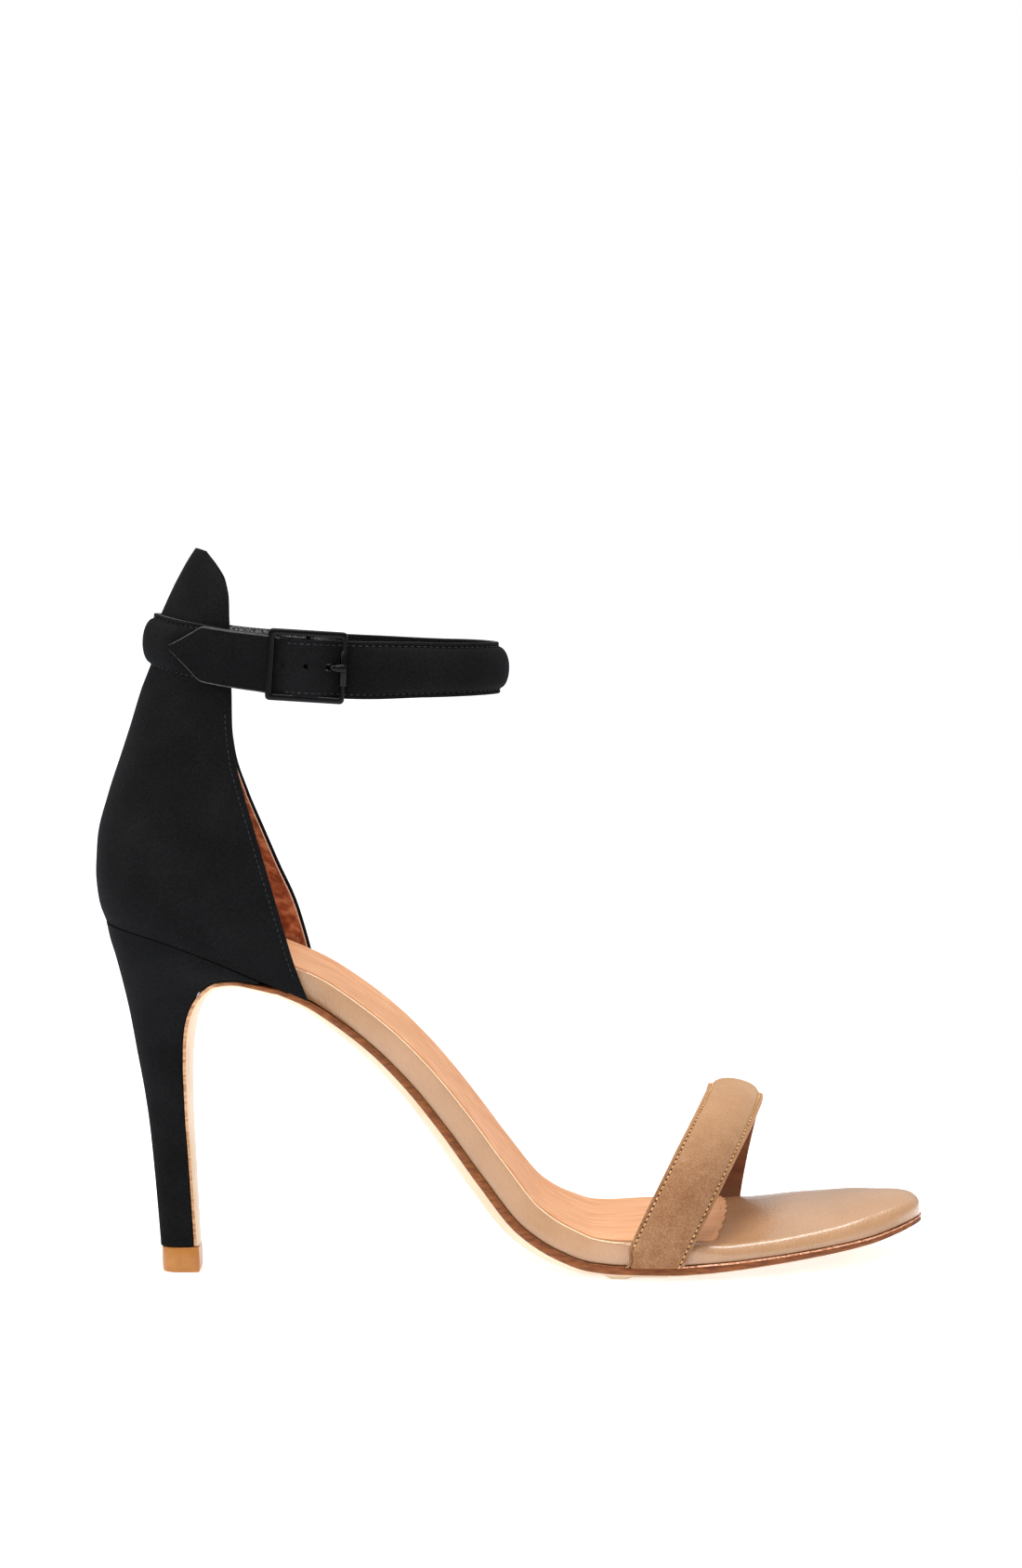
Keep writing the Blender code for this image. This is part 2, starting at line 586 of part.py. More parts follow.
def make_heel(group, material):
    """High heel block under the seat, its sections fanned from the seat to the tip."""
    levels = [row[2] for row in HEEL_ROWS]
    downs = []
    for a, b in zip(levels[:-1], levels[1:]):
        downs += [a, (a + b) / 2]
    downs.append(levels[-1])
    places = [(k / 9.0) ** 2 for k in range(10)]
    seat_back = (HEEL_ROWS[0][0], HEEL_ROWS[0][1])
    path = [(float(BREAST["x"](d)), float(BREAST["z"](d))) for d in downs]
    normals = normals_of(path)
    rings = []
    for k, down in enumerate(downs):
        front = (path[k][0] + normals[k][0] * GAP / 2, path[k][1] + normals[k][1] * GAP / 2)
        back = (float(HEEL["back_x"](down)), float(HEEL["back_z"](down)))
        if k == 0:
            front = (front[0], float(SOLE["z"](front[0])) - GAP / 2)
        seat = max(0.0, 1.0 - k / 5.0) ** 2
        middle = (float(HEEL["lateral"](down)) + float(HEEL["medial"](down))) / 2
        half = (float(HEEL["medial"](down)) - float(HEEL["lateral"](down))) / 2
        half_ring = []
        for u in places:
            x = back[0] + (front[0] - back[0]) * u
            z = back[1] + (front[1] - back[1]) * u
            first_front = path[0]
            line = seat_back[1] + (float(SOLE["z"](first_front[0])) - seat_back[1]) * u
            seat_x = seat_back[0] + (first_front[0] - seat_back[0]) * u
            z += seat * (float(SOLE["z"](seat_x)) - line)
            wide = rounded_half(u, float(HEEL["roundness"](down)))
            half_ring.append((x, half * max(wide, 0.02), z))
        near = [(x, middle - y, z) for x, y, z in half_ring[::-1]]
        far = [(x, middle + y, z) for x, y, z in half_ring]
        rings.append(near + far)
    bottom = TOP_PIECE_HEIGHT + GAP
    rings[-1] = [(x, y, bottom) for x, y, z in rings[-1]]
    rings[0] = [(x, y, z - GAP / 2) for x, y, z in rings[0]]
    return add_object("heel", loft_mesh("heel", rings), group, material)


def make_top_piece(group, material):
    """Wear pad under the heel and the foot of the flap."""
    back = HEEL_ROWS[-1][0] + 0.3
    lateral = HEEL_ROWS[-1][3]
    medial = HEEL_ROWS[-1][4]
    middle = (lateral + medial) / 2
    half = (medial - lateral) / 2 + 0.1
    front = BREAST_ROWS[-1][0] + 1.5
    places = [(k / 8.0) ** 2 for k in range(9)]
    rings = []
    for z, shrink in ((TOP_PIECE_HEIGHT, 0.0), (0.35, 0.25), (0.0, 0.55)):
        half_ring = []
        for u in places:
            x = back + shrink + (front - back - 2 * shrink) * u
            wide = rounded_half(u, HEEL_ROWS[-1][5])
            half_ring.append((x, (half - shrink) * max(wide, 0.04), z))
        near = [(x, middle - y, z) for x, y, z in half_ring[::-1]]
        far = [(x, middle + y, z) for x, y, z in half_ring]
        rings.append(near + far)
    return add_object("top_piece", loft_mesh("top_piece", rings), group, material)


def ring_arc(u, depth):
    """Half width of the ankle strap's oval, u of the way over a depth from its back."""
    ratio = depth / RING_HALF_LENGTH
    full = math.sqrt(2 * ratio - ratio ** 2)
    return math.sqrt(2 * u * ratio - (u * ratio) ** 2) / full


def back_point(level, side, p):
    """Outer face of the closed back: level up from the feather line, side -1 outer or
    1 inner, p from 0 at the middle of the back to 1 at the front edge."""
    edge = "near" if side < 0 else "far"
    back_x = float(BACK["back_x"](level))
    back_z = float(BACK["back_z"](level))
    front_x = float(BACK[edge + "_x"](level))
    front_z = float(BACK[edge + "_z"](level))
    u = p ** 2
    x = back_x + (front_x - back_x) * u
    z = back_z + (front_z - back_z) * u
    first_back = BACK_ROWS[0][0]
    first_front = BACK_ROWS[0][2] if side < 0 else BACK_ROWS[0][4]
    first_front_z = BACK_ROWS[0][3] if side < 0 else BACK_ROWS[0][5]
    seat_x = first_back + (first_front - first_back) * u
    line = BACK_ROWS[0][1] + (first_front_z - BACK_ROWS[0][1]) * u
    settle = max(0.0, 1.0 - level / SEAT_BLEND) ** 2
    z += settle * (float(SOLE["z"](seat_x)) + GAP / 2 - line)
    lateral, medial = outline(seat_x, 0.0)
    seat_y = lateral if side < 0 else medial
    reach = RING_HALF_WIDTH + RING_SUNK
    ratio = (CROSSING_DEPTH + RING_SUNK) / (RING_HALF_LENGTH + RING_SUNK)
    crossing_y = reach * math.sqrt(2 * ratio - ratio ** 2)
    ankle_y = side * crossing_y * ring_arc(u, CROSSING_DEPTH)
    ankle = float(BACK["ankle"](level))
    narrow = float(BACK["narrow"](level))
    y = (1.0 - ankle) * (seat_y - SEAT_AXIS) + ankle * ankle_y
    return np.array((x, SEAT_AXIS + y * narrow, z))


def make_closed_back(group, material):
    """Hollow wall of the closed back with its tab, open to the front and below."""
    levels = list(np.linspace(0.0, BACK_KEYS[-5], 17)) + list(BACK_KEYS[-4:])
    places = np.linspace(0.0, 1.0, 12)
    grid = []
    for level in levels:
        row = [back_point(level, -1, p) for p in places[::-1]]
        row += [back_point(level, 1, p) for p in places[1:]]
        grid.append(row)
    outer = np.array(grid)
    along = np.gradient(outer, axis=1)
    up = np.gradient(outer, axis=0)
    normal = np.cross(along, up)
    normal /= np.linalg.norm(normal, axis=2)[:, :, None]
    middle = len(places) - 1
    if normal[4, middle, 0] > 0:
        normal = -normal
    inner = outer - normal * WALL
    for c in range(outer.shape[1]):
        inner[0, c, 2] = float(SOLE["z"](inner[0, c, 0])) + GAP / 2 + 0.1
    return add_object("upper", sheet_mesh("upper", outer, inner), group, material)


def strap_section(half_width, edge, roll):
    """Flat flanges on both sides of a round roll, over a flat lining. Pairs of
    across and out, in one loop that starts at the lower edge of the lining."""
    curve = min(ROLL_HALF_WIDTH, 0.72 * half_width)
    ring = [(-half_width, 0.0), (half_width, 0.0), (half_width, edge)]
    for part in (1.0, 0.86, 0.46, 0.0, -0.46, -0.86, -1.0):
        ring.append((part * curve, edge + roll * math.sqrt(max(0.0, 1.0 - part ** 2))))
    ring.append((-half_width, edge))
    return ring


def sweep_strap(name, path, across, sizes):
    """Carry the strap's section along a path of its lining. across is the direction
    of its width at each point, sizes its half width, edge thickness and roll."""
    path = np.asarray(path, float)
    run = np.gradient(path, axis=0)
    run /= np.linalg.norm(run, axis=1)[:, None]
    rings = []
    for i, point in enumerate(path):
        wide = np.asarray(across[i], float)
        wide = wide - run[i] * np.dot(wide, run[i])
        wide /= np.linalg.norm(wide)
        out = np.cross(wide, run[i])
        ring = [tuple(point + wide * a + out * b) for a, b in strap_section(*sizes[i])]
        rings.append(ring)
    return loft_mesh(name, rings, ladder=False)


def ring_point(angle, off):
    """A point of the ankle ring, angle degrees from the outer side to the back."""
    a = math.radians(angle)
    x = RING_X - RING_HALF_LENGTH * math.sin(a)
    y = RING_Y - RING_HALF_WIDTH * math.cos(a)
    normal = np.array((-math.sin(a) / RING_HALF_LENGTH, -math.cos(a) / RING_HALF_WIDTH))
    normal /= np.linalg.norm(normal)
    x += normal[0] * off
    y += normal[1] * off
    fall = RING_CROSS_FALL * (y - RING_Y + RING_HALF_WIDTH)
    return x, y, float(RING_HEIGHT["z"](x)) - fall


def ring_lean(x):
    """How far the strap's upper edge leans to the front, towards the back of the ring."""
    return RING_BACK_LEAN * min(1.0, max(0.0, (-70.0 - x) / 24.0))


def make_ankle_strap(group, material):
    """One long strap: its loop round the buckle's bar, once round the ankle over the
    closed back, through the buckle and back along itself to its pointed end."""
    bar_y = BUCKLE_Y + CENTRE_BAR_BACK
    inner = CENTRE_BAR_RADIUS + LOOP_CLEARANCE
    path = []
    sizes = []
    loop = LOOP_THICKNESS
    slope = math.tan(BUCKLE_TILT)
    for back in (LOOP_TAIL, LOOP_TAIL / 2):
        path.append((BUCKLE_X - back, bar_y + inner, BUCKLE_Z + back * slope))
        sizes.append((LOOP_HALF_WIDTH, loop, 0.0))
    for degrees in range(-90, 91, 30):
        a = math.radians(degrees)
        x = BUCKLE_X + inner * math.cos(a)
        path.append((x, bar_y - inner * math.sin(a), BUCKLE_Z - (x - BUCKLE_X) * slope))
        sizes.append((LOOP_HALF_WIDTH, loop, 0.0))
    for back, down in ((2.4, 0.25), (4.8, 0.95)):
        path.append((BUCKLE_X - back, bar_y - inner + down, BUCKLE_Z + back * slope))
        sizes.append((LOOP_HALF_WIDTH, loop + 0.1 * down, 0.0))
    loop_count = len(path)
    angles = list(np.arange(STRAP_ROWS[0][0], 64.0, STRAP_STEP))
    angles += list(np.arange(64.0, 340.0, 8.0))
    angles += list(np.arange(342.0, 404.0, 3.0))
    angles += [row[0] for row in STRAP_ROWS[-5:]]
    for angle in angles:
        path.append(ring_point(angle, float(STRAP["off"](angle))))
        roll = float(STRAP["roll"](angle))
        sizes.append((float(STRAP["half_width"](angle)), float(STRAP["edge"](angle)),
                      STRAP_ROLL * roll))
    across = [(slope, 0.0, 1.0)] * loop_count
    across += [(ring_lean(p[0]), 0.0, 1.0) for p in path[loop_count:]]
    mesh = sweep_strap("ankle_strap_ring", path, across, sizes)
    return add_object("ankle_strap_ring", mesh, group, material)


def make_box(name, size, centre, turn, group):
    """A cutter block, sizes in millimetres, turned about the axis across the shoe."""
    mesh = bpy.data.meshes.new(name)
    shape = bmesh.new()
    bmesh.ops.create_cube(shape, size=1.0)
    bmesh.ops.scale(shape, vec=[v * MM for v in size], verts=shape.verts)
    shape.to_mesh(mesh)
    shape.free()
    block = add_object(name, mesh, group)
    block.matrix_world = (Matrix.Translation([v * MM for v in centre])
                          @ Matrix.Rotation(turn, 4, "Y"))
    block.hide_render = True
    block.display_type = "WIRE"
    return block


def make_upper(group, cutters, material):
    """Closed back and ankle strap in one, with the hole and slot for the prong."""
    upper = make_closed_back(group, material)
    strap = make_ankle_strap(cutters, material)
    combine(upper, strap, "UNION")
    drop = PRONG_HOLE_X * math.tan(BUCKLE_TILT)
    hole_at = (BUCKLE_X + PRONG_HOLE_X, BUCKLE_Y - 1.2, BUCKLE_Z - drop)
    hole = make_box("prong_hole", PRONG_HOLE, hole_at, BUCKLE_TILT, cutters)
    combine(upper, hole, "DIFFERENCE")
    bar_y = BUCKLE_Y + CENTRE_BAR_BACK
    slot_at = (BUCKLE_X + PRONG_SLOT_X, bar_y + CENTRE_BAR_RADIUS, BUCKLE_Z)
    slot = make_box("prong_slot", PRONG_SLOT, slot_at, BUCKLE_TILT, cutters)
    combine(upper, slot, "DIFFERENCE")
    return upper


def make_toe_strap(group, cutters, material):
    """Padded strap over the toes, its ends tucked in between insole and outsole."""
    keys = chord_lengths([row[:3] for row in TOE_STRAP_ROWS])
    curves = columns_by(keys, TOE_STRAP_COLUMNS, TOE_STRAP_ROWS)
    path = []
    across = []
    sizes = []
    for at in np.linspace(0.0, keys[-1], 34):
        path.append([float(curves[axis](at)) for axis in ("x", "y", "z")])
        lean = math.radians(float(curves["lean"](at)))
        across.append((math.cos(lean), float(curves["turn"](at)), -math.sin(lean)))
        sizes.append((STRAP_WIDTH / 2, STRAP_EDGE, STRAP_ROLL * float(curves["roll"](at))))
    mesh = sweep_strap("toe_strap", path, across, sizes)
    strap = add_object("toe_strap", mesh, group, material)
    ground = []
    for x in np.linspace(5.0, 80.0, 26):
        top = float(SOLE["z"](x)) + GAP / 2
        ground.append([(x, -60.0, -20.0), (x, -60.0, top), (x, 60.0, top), (x, 60.0, -20.0)])
    block = add_object("strap_trim", loft_mesh("strap_trim", ground), cutters)
    combine(strap, block, "DIFFERENCE")
    return strap


def bar_mesh(name, length, radius):
    """A round upright bar about its own middle."""
    mesh = bpy.data.meshes.new(name)
    shape = bmesh.new()
    bmesh.ops.create_cone(shape, cap_ends=True, segments=10, radius1=radius * MM,
                          radius2=radius * MM, depth=length * MM)
    shape.to_mesh(mesh)
    shape.free()
    return mesh


def rounded_rectangle(length, height, radius):
    """Corners of a rectangle in x and z, each rounded with a short arc."""
    points = []
    for sx, sz, start in ((1, 1, 0.0), (-1, 1, 90.0), (-1, -1, 180.0), (1, -1, 270.0)):
        for step in (0.0, 30.0, 60.0, 90.0):
            a = math.radians(start + step)
            points.append((sx * (length / 2 - radius) + radius * math.cos(a),
                           sz * (height / 2 - radius) + radius * math.sin(a)))
    return points


def buckle_place():
    """Where the buckle's own axes lie in the shoe."""
    return (Matrix.Translation((BUCKLE_X * MM, BUCKLE_Y * MM, BUCKLE_Z * MM))
            @ Matrix.Rotation(BUCKLE_TILT, 4, "Y"))


def make_buckle(group, cutters, material):
    """Square metal frame with a bar across its middle, set back behind the frame."""
    outer = rounded_rectangle(BUCKLE_LENGTH, BUCKLE_HEIGHT, CORNER_OUTSIDE)
    inner = rounded_rectangle(BUCKLE_LENGTH - 2 * BUCKLE_SIDE,
                              BUCKLE_HEIGHT - 2 * BUCKLE_RAIL, CORNER_INSIDE)
    depth = BUCKLE_DEPTH / 2
    soft = 0.35
    rings = ((outer, -depth + soft, 0.0), (outer, -depth, -soft), (inner, -depth, soft),
             (inner, -depth + soft, 0.0), (inner, depth, 0.0), (outer, depth, 0.0))
    points = []
    for corner_points, y, grow in rings:
        for x, z in corner_points:
            reach = math.hypot(x, z)
            points.append((x * (1 + grow / reach), y, z * (1 + grow / reach)))
    count = len(outer)
    faces = []
    for r in range(len(rings)):
        nxt = (r + 1) % len(rings)
        for i in range(count):
            j = (i + 1) % count
            faces.append((r * count + i, r * count + j, nxt * count + j, nxt * count + i))
    frame = add_object("buckle", mesh_from("buckle", points, faces), group, material)
    frame.matrix_world = buckle_place()
    half = BUCKLE_HEIGHT / 2 - BUCKLE_RAIL / 2
    bar = bar_mesh("buckle_centre_bar", 2 * half + 0.8, CENTRE_BAR_RADIUS)
    bar = add_object("buckle_centre_bar", bar, cutters)
    bar.matrix_world = buckle_place() @ Matrix.Translation((0, CENTRE_BAR_BACK * MM, 0))
    combine(frame, bar, "UNION")
    for name, z in (("bar_ear_upper", half), ("bar_ear_lower", -half)):
        size = (BAR_EAR_WIDTH, CENTRE_BAR_BACK + 1.3, BUCKLE_RAIL - 0.1)
        place = buckle_place() @ Matrix.Translation((0, (CENTRE_BAR_BACK / 2 + 0.1) * MM, z * MM))
        ear = make_box(name, size, (0, 0, 0), 0.0, cutters)
        ear.matrix_world = place
        combine(frame, ear, "UNION")
    return frame


def make_prong(group, material):
    """Pin of the buckle: an eye round the centre bar and a shank over the front bar."""
    eye = PRONG_RING
    shank = []
    for degrees in range(150, -91, -30):
        a = math.radians(degrees)
        shank.append((-eye * math.cos(a), CENTRE_BAR_BACK + eye * math.sin(a)))
    tip = BUCKLE_LENGTH / 2 - BUCKLE_SIDE / 2
    over = -BUCKLE_DEPTH / 2 - GAP - PRONG_RADIUS
    route = shank + [(2.0, 1.25), (3.6, 1.7), (7.4, over + 0.15), (8.2, over)]
    route.append((tip + 0.7, over))
    curve = bpy.data.curves.new("prong", "CURVE")
    curve.dimensions = "3D"
    curve.bevel_depth = PRONG_RADIUS * MM
    curve.bevel_resolution = 2
    curve.use_fill_caps = True
    line = curve.splines.new("POLY")
    line.points.add(len(route) - 1)
    for point, (x, y) in zip(line.points, route):
        point.co = (x * MM, y * MM, 0.0, 1.0)
    draft = bpy.data.objects.new("prong_route", curve)
    group.objects.link(draft)
    draft.matrix_world = buckle_place()
    bpy.context.view_layer.update()
    seen = draft.evaluated_get(bpy.context.evaluated_depsgraph_get())
    mesh = bpy.data.meshes.new_from_object(seen)
    shape = bmesh.new()
    shape.from_mesh(mesh)
    bmesh.ops.remove_doubles(shape, verts=shape.verts, dist=0.00001)
    bmesh.ops.recalc_face_normals(shape, faces=shape.faces)
    shape.to_mesh(mesh)
    shape.free()
    mesh.materials.clear()
    prong = add_object("prong", mesh, group, material)
    prong.matrix_world = draft.matrix_world.copy()
    bpy.data.objects.remove(draft, do_unlink=True)
    return prong


def main():
    """Clear the scene and build the shoe."""
    for thing in list(bpy.data.objects):
        bpy.data.objects.remove(thing, do_unlink=True)
    group = make_collection(NAME)
    cutters = make_collection("cutters")
    finish = {name: make_material(name) for name in FINISHES}
    make_outsole(group, finish["sole_leather"])
    make_insole(group, finish["taupe_leather"])
    make_sock(group, finish["sock_leather"])
    make_heel(group, finish["black_suede"])
    make_top_piece(group, finish["top_piece_rubber"])
    make_upper(group, cutters, finish["black_suede"])
    make_toe_strap(group, cutters, finish["tan_suede"])
    make_buckle(group, cutters, finish["black_metal"])
    make_prong(group, finish["black_metal"])
    to_origin = Matrix.Translation((-CENTRE_X * MM, -CENTRE_Y * MM, 0.0))
    for thing in list(group.objects) + list(cutters.objects):
        thing.matrix_world = to_origin @ thing.matrix_world


main()
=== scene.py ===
import math

import bmesh
import bpy
import numpy as np
from mathutils import Matrix, Vector


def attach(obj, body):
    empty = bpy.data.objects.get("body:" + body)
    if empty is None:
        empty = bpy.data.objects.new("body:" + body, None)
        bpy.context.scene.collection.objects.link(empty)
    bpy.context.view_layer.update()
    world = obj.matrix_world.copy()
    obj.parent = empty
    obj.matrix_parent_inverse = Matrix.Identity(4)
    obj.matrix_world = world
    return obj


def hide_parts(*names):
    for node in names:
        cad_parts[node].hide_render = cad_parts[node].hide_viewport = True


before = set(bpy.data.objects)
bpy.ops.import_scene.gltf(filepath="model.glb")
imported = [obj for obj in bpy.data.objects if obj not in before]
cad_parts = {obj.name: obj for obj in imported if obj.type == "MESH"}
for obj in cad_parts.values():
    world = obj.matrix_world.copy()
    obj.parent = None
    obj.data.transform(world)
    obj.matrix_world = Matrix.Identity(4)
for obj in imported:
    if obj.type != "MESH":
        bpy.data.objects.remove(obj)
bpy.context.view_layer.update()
print("frame loaded:", ", ".join(sorted(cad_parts)))

mm = 0.001
shoeMiddle = np.array((-1.76, -0.43, 0.0))  # the solids were moved so that this point is the origin
gap = 0.3  # clearance between glued pieces


# curves, grids and objects

def curveThrough(keys, values):  # passes every row and never overshoots
    x = np.asarray(keys, float)
    y = np.asarray(values, float)
    if x[0] > x[-1]:
        x, y = x[::-1], y[::-1]
    step = np.diff(x)
    slope = np.diff(y) / step
    tangent = np.zeros(len(x))
    tangent[0], tangent[-1] = slope[0], slope[-1]
    for i in range(1, len(x) - 1):
        if slope[i - 1] * slope[i] > 0:
            before = 2 * step[i] + step[i - 1]
            after = step[i] + 2 * step[i - 1]
            tangent[i] = (before + after) / (before / slope[i - 1] + after / slope[i])

    def at(where):
        where = np.clip(where, x[0], x[-1])
        i = np.clip(np.searchsorted(x, where, side="right") - 1, 0, len(step) - 1)
        t = (where - x[i]) / step[i]
        low = y[i] * (1 + 2 * t) * (1 - t) ** 2 + tangent[i] * step[i] * t * (1 - t) ** 2
        high = y[i + 1] * t * t * (3 - 2 * t) + tangent[i + 1] * step[i] * t * t * (t - 1)
        return low + high

    return at


def runLengths(points):
    steps = np.linalg.norm(np.diff(np.asarray(points, float), axis=0), axis=1)
    return np.concatenate(([0.0], np.cumsum(steps)))


def tableCurves(names, rows, keys=None):
    table = np.array(rows, float)
    keys = table[:, 0] if keys is None else keys
    return {name: curveThrough(keys, table[:, i]) for i, name in enumerate(names)}


def unit(vectors):
    vectors = np.asarray(vectors, float)
    return vectors / np.linalg.norm(vectors, axis=-1, keepdims=True)


def ripple(along, across, seed):  # slow unevenness between -1 and 1, the same on each run
    a = np.sin(along * 0.31 + seed * 1.7) * np.cos(across * 0.43 + seed)
    b = np.sin(along * 0.83 + across * 0.37 + seed * 2.9)
    c = np.sin(along * 1.71 - across * 0.9 + seed * 0.6)
    return 0.5 * a + 0.32 * b + 0.18 * c


def makePiece(name, points, faces, materials, slotOfFace=None, sharp=42.0):
    mesh = bpy.data.meshes.new(name)
    placed = (np.asarray(points, float) - shoeMiddle) * mm
    mesh.from_pydata(placed.tolist(), [], faces)
    for material in materials:
        mesh.materials.append(material)
    if slotOfFace is not None:
        mesh.polygons.foreach_set("material_index", np.asarray(slotOfFace, np.int32))
    shape = bmesh.new()
    shape.from_mesh(mesh)
    bmesh.ops.recalc_face_normals(shape, faces=shape.faces)
    shape.to_mesh(mesh)
    shape.free()
    mesh.shade_smooth()
    mesh.set_sharp_from_angle(angle=math.radians(sharp))
    piece = bpy.data.objects.new(name, mesh)
    bpy.context.scene.collection.objects.link(piece)
    return piece


def lofted(rings, slotOfColumn=None, ladder=True, capSlot=0):
    # rings of equal count, joined round and capped at both ends
    count = len(rings[0])
    points = np.concatenate([np.asarray(ring, float) for ring in rings])
    faces, slots = [], []
    for r in range(len(rings) - 1):
        low, high = r * count, (r + 1) * count
        for i in range(count):
            j = (i + 1) % count
            faces.append((low + i, low + j, high + j, high + i))
            slots.append(0 if slotOfColumn is None else slotOfColumn[i])
    for base in (0, (len(rings) - 1) * count):
        if not ladder:
            faces.append(tuple(range(base, base + count)))
            slots.append(capSlot)
            continue
        for i in range(count // 2 - 1):
            faces.append((base + i, base + i + 1, base + count - 2 - i, base + count - 1 - i))
            slots.append(capSlot)
        if count % 2:
            middle = count // 2
            faces.append((base + middle - 1, base + middle, base + middle + 1))
            slots.append(capSlot)
    return points, faces, slots


def finishPiece(piece, replaced=()):
    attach(piece, "root")
    if replaced:
        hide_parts(*replaced)
    return piece


def loftPiece(name, rings, materials, replaced=(), slots=None, capSlot=0,
              sharp=42.0):
    points, faces, slotOfFace = lofted(rings, slots, capSlot=capSlot)
    piece = makePiece(name, points, faces, materials, slotOfFace, sharp)
    return finishPiece(piece, replaced)


def spacedPoints(line, pitch, start=0.5):  # evenly spaced places along a dense line
    line = np.asarray(line, float)
    lengths = runLengths(line)
    count = max(2, int(round((lengths[-1] - 2 * start) / pitch)) + 1)
    where = np.linspace(start, lengths[-1] - start, count)
    return np.column_stack([np.interp(where, lengths, line[:, k]) for k in range(line.shape[1])])


def needleHoles(name, line, normals, thread, material):  # dark pricks between stitches: painted shade in the needle holes
    prick = dict(thread, start=0.5 + thread["pitch"] / 2, length=0.45,
                 radius=thread["radius"] * 1.2, sink=0.0, tilt=0.0)
    sunk = np.asarray(line, float) - unit(normals) * thread["radius"] * 0.9
    return stitchRow(name, sunk, normals, prick, material)


def stitchRow(name, line, normals, thread, material):
    # one short rounded thread for each stitch, lying on the line
    packed = spacedPoints(np.hstack([line, normals]), thread["pitch"], thread.get("start", 0.5))
    centres, ups = packed[:, :3], unit(packed[:, 3:])
    runs = unit(np.gradient(centres, axis=0))
    points, faces = [], []
    profile = ((-1.0, 0.25), (-0.82, 0.72), (-0.4, 1.0), (0.4, 1.0), (0.82, 0.72), (1.0, 0.25))
    around = 6
    for k, centre in enumerate(centres):
        run, up = runs[k], ups[k]
        side = unit(np.cross(run, up))
        up = np.cross(side, run)
        tilt = thread.get("tilt", 0.0)
        run = unit(run + side * tilt)
        side = np.cross(run, up)
        base = len(points)
        for t, grow in profile:
            dip = thread["sink"] * abs(t) ** 3
            for a in range(around):
                angle = 2 * math.pi * a / around
                points.append(centre + run * t * thread["length"] / 2
                              + side * math.cos(angle) * grow * thread["radius"]
                              + up * (math.sin(angle) * grow * thread["radius"] - dip))
        for r in range(len(profile) - 1):
            for a in range(around):
                b = (a + 1) % around
                low, high = base + r * around, base + (r + 1) * around
                faces.append((low + a, low + b, high + b, high + a))
        faces.append(tuple(base + a for a in range(around)))
        faces.append(tuple(base + (len(profile) - 1) * around + a for a in range(around)))
    piece = makePiece(name, points, faces, [material], sharp=80.0)
    return finishPiece(piece)


# materials

def hexColour(code):  # sRGB hex to linear
    values = [int(code[i:i + 2], 16) / 255 for i in (1, 3, 5)]
    linear = [v / 12.92 if v <= 0.04045 else ((v + 0.055) / 1.055) ** 2.4 for v in values]
    return tuple(linear) + (1.0,)


def addNode(tree, kind, settings=None, links=None):  # a link to a node takes its first output
    node = tree.nodes.new("ShaderNode" + kind)
    for key, value in (settings or {}).items():
        if key == "stops":
            ramp = node.color_ramp
            while len(ramp.elements) < len(value):
                ramp.elements.new(0.5)
            for element, (place, code) in zip(ramp.elements, value):
                element.position = place
                element.color = hexColour(code)
        elif isinstance(key, int) or key in node.inputs:
            node.inputs[key].default_value = value
        else:
            setattr(node, key, value)
    for key, source in (links or {}).items():
        tree.links.new(source.outputs[0] if hasattr(source, "outputs") else source,
                       node.inputs[key])
    return node


def startMaterial(name, shaderSettings):
    material = bpy.data.materials.new(name)
    material.use_nodes = True
    tree = material.node_tree
    tree.nodes.clear()
    shader = addNode(tree, "BsdfPrincipled", shaderSettings)
    addNode(tree, "OutputMaterial", {}, {"Surface": shader})
    place = addNode(tree, "TexCoord").outputs["Object"]
    return material, tree, place


def finishMaterial(material, tone=None, height=None, strength=0.0, depthMm=0.0):
    # joins the colour, and the height of the surface where it has a relief
    tree, shader = material.node_tree, material.node_tree.nodes["Principled BSDF"]
    if tone:
        tree.links.new(tone.outputs["Color"], shader.inputs["Base Color"])
    if height:
        relief = addNode(tree, "Bump", {"Strength": strength, "Distance": depthMm * mm},
                         {"Height": height})
        tree.links.new(relief.outputs["Normal"], shader.inputs["Normal"])
    return material


def perMetre(sizeInMm):  # a pattern's scale from the real size of one of its cells
    return 1.0 / (sizeInMm * mm)


# a finish with a soft cloud of close tones and, where it is given, a fine relief
def cloudedFinish(name, look, cloudMm, detail, tones, relief=None):
    material, tree, place = startMaterial(name, look)
    cloud = addNode(tree, "TexNoise", {"Scale": perMetre(cloudMm), "Detail": detail},
                    {"Vector": place})
    tone = addNode(tree, "ValToRGB", {"stops": tones}, {"Fac": cloud})
    if not relief:
        return finishMaterial(material, tone)
    grain = addNode(tree, "TexNoise", {"Scale": perMetre(relief["mm"]), "Detail": relief["detail"]},
                    {"Vector": place})
    return finishMaterial(material, tone, grain, relief["strength"], relief["depthMm"])


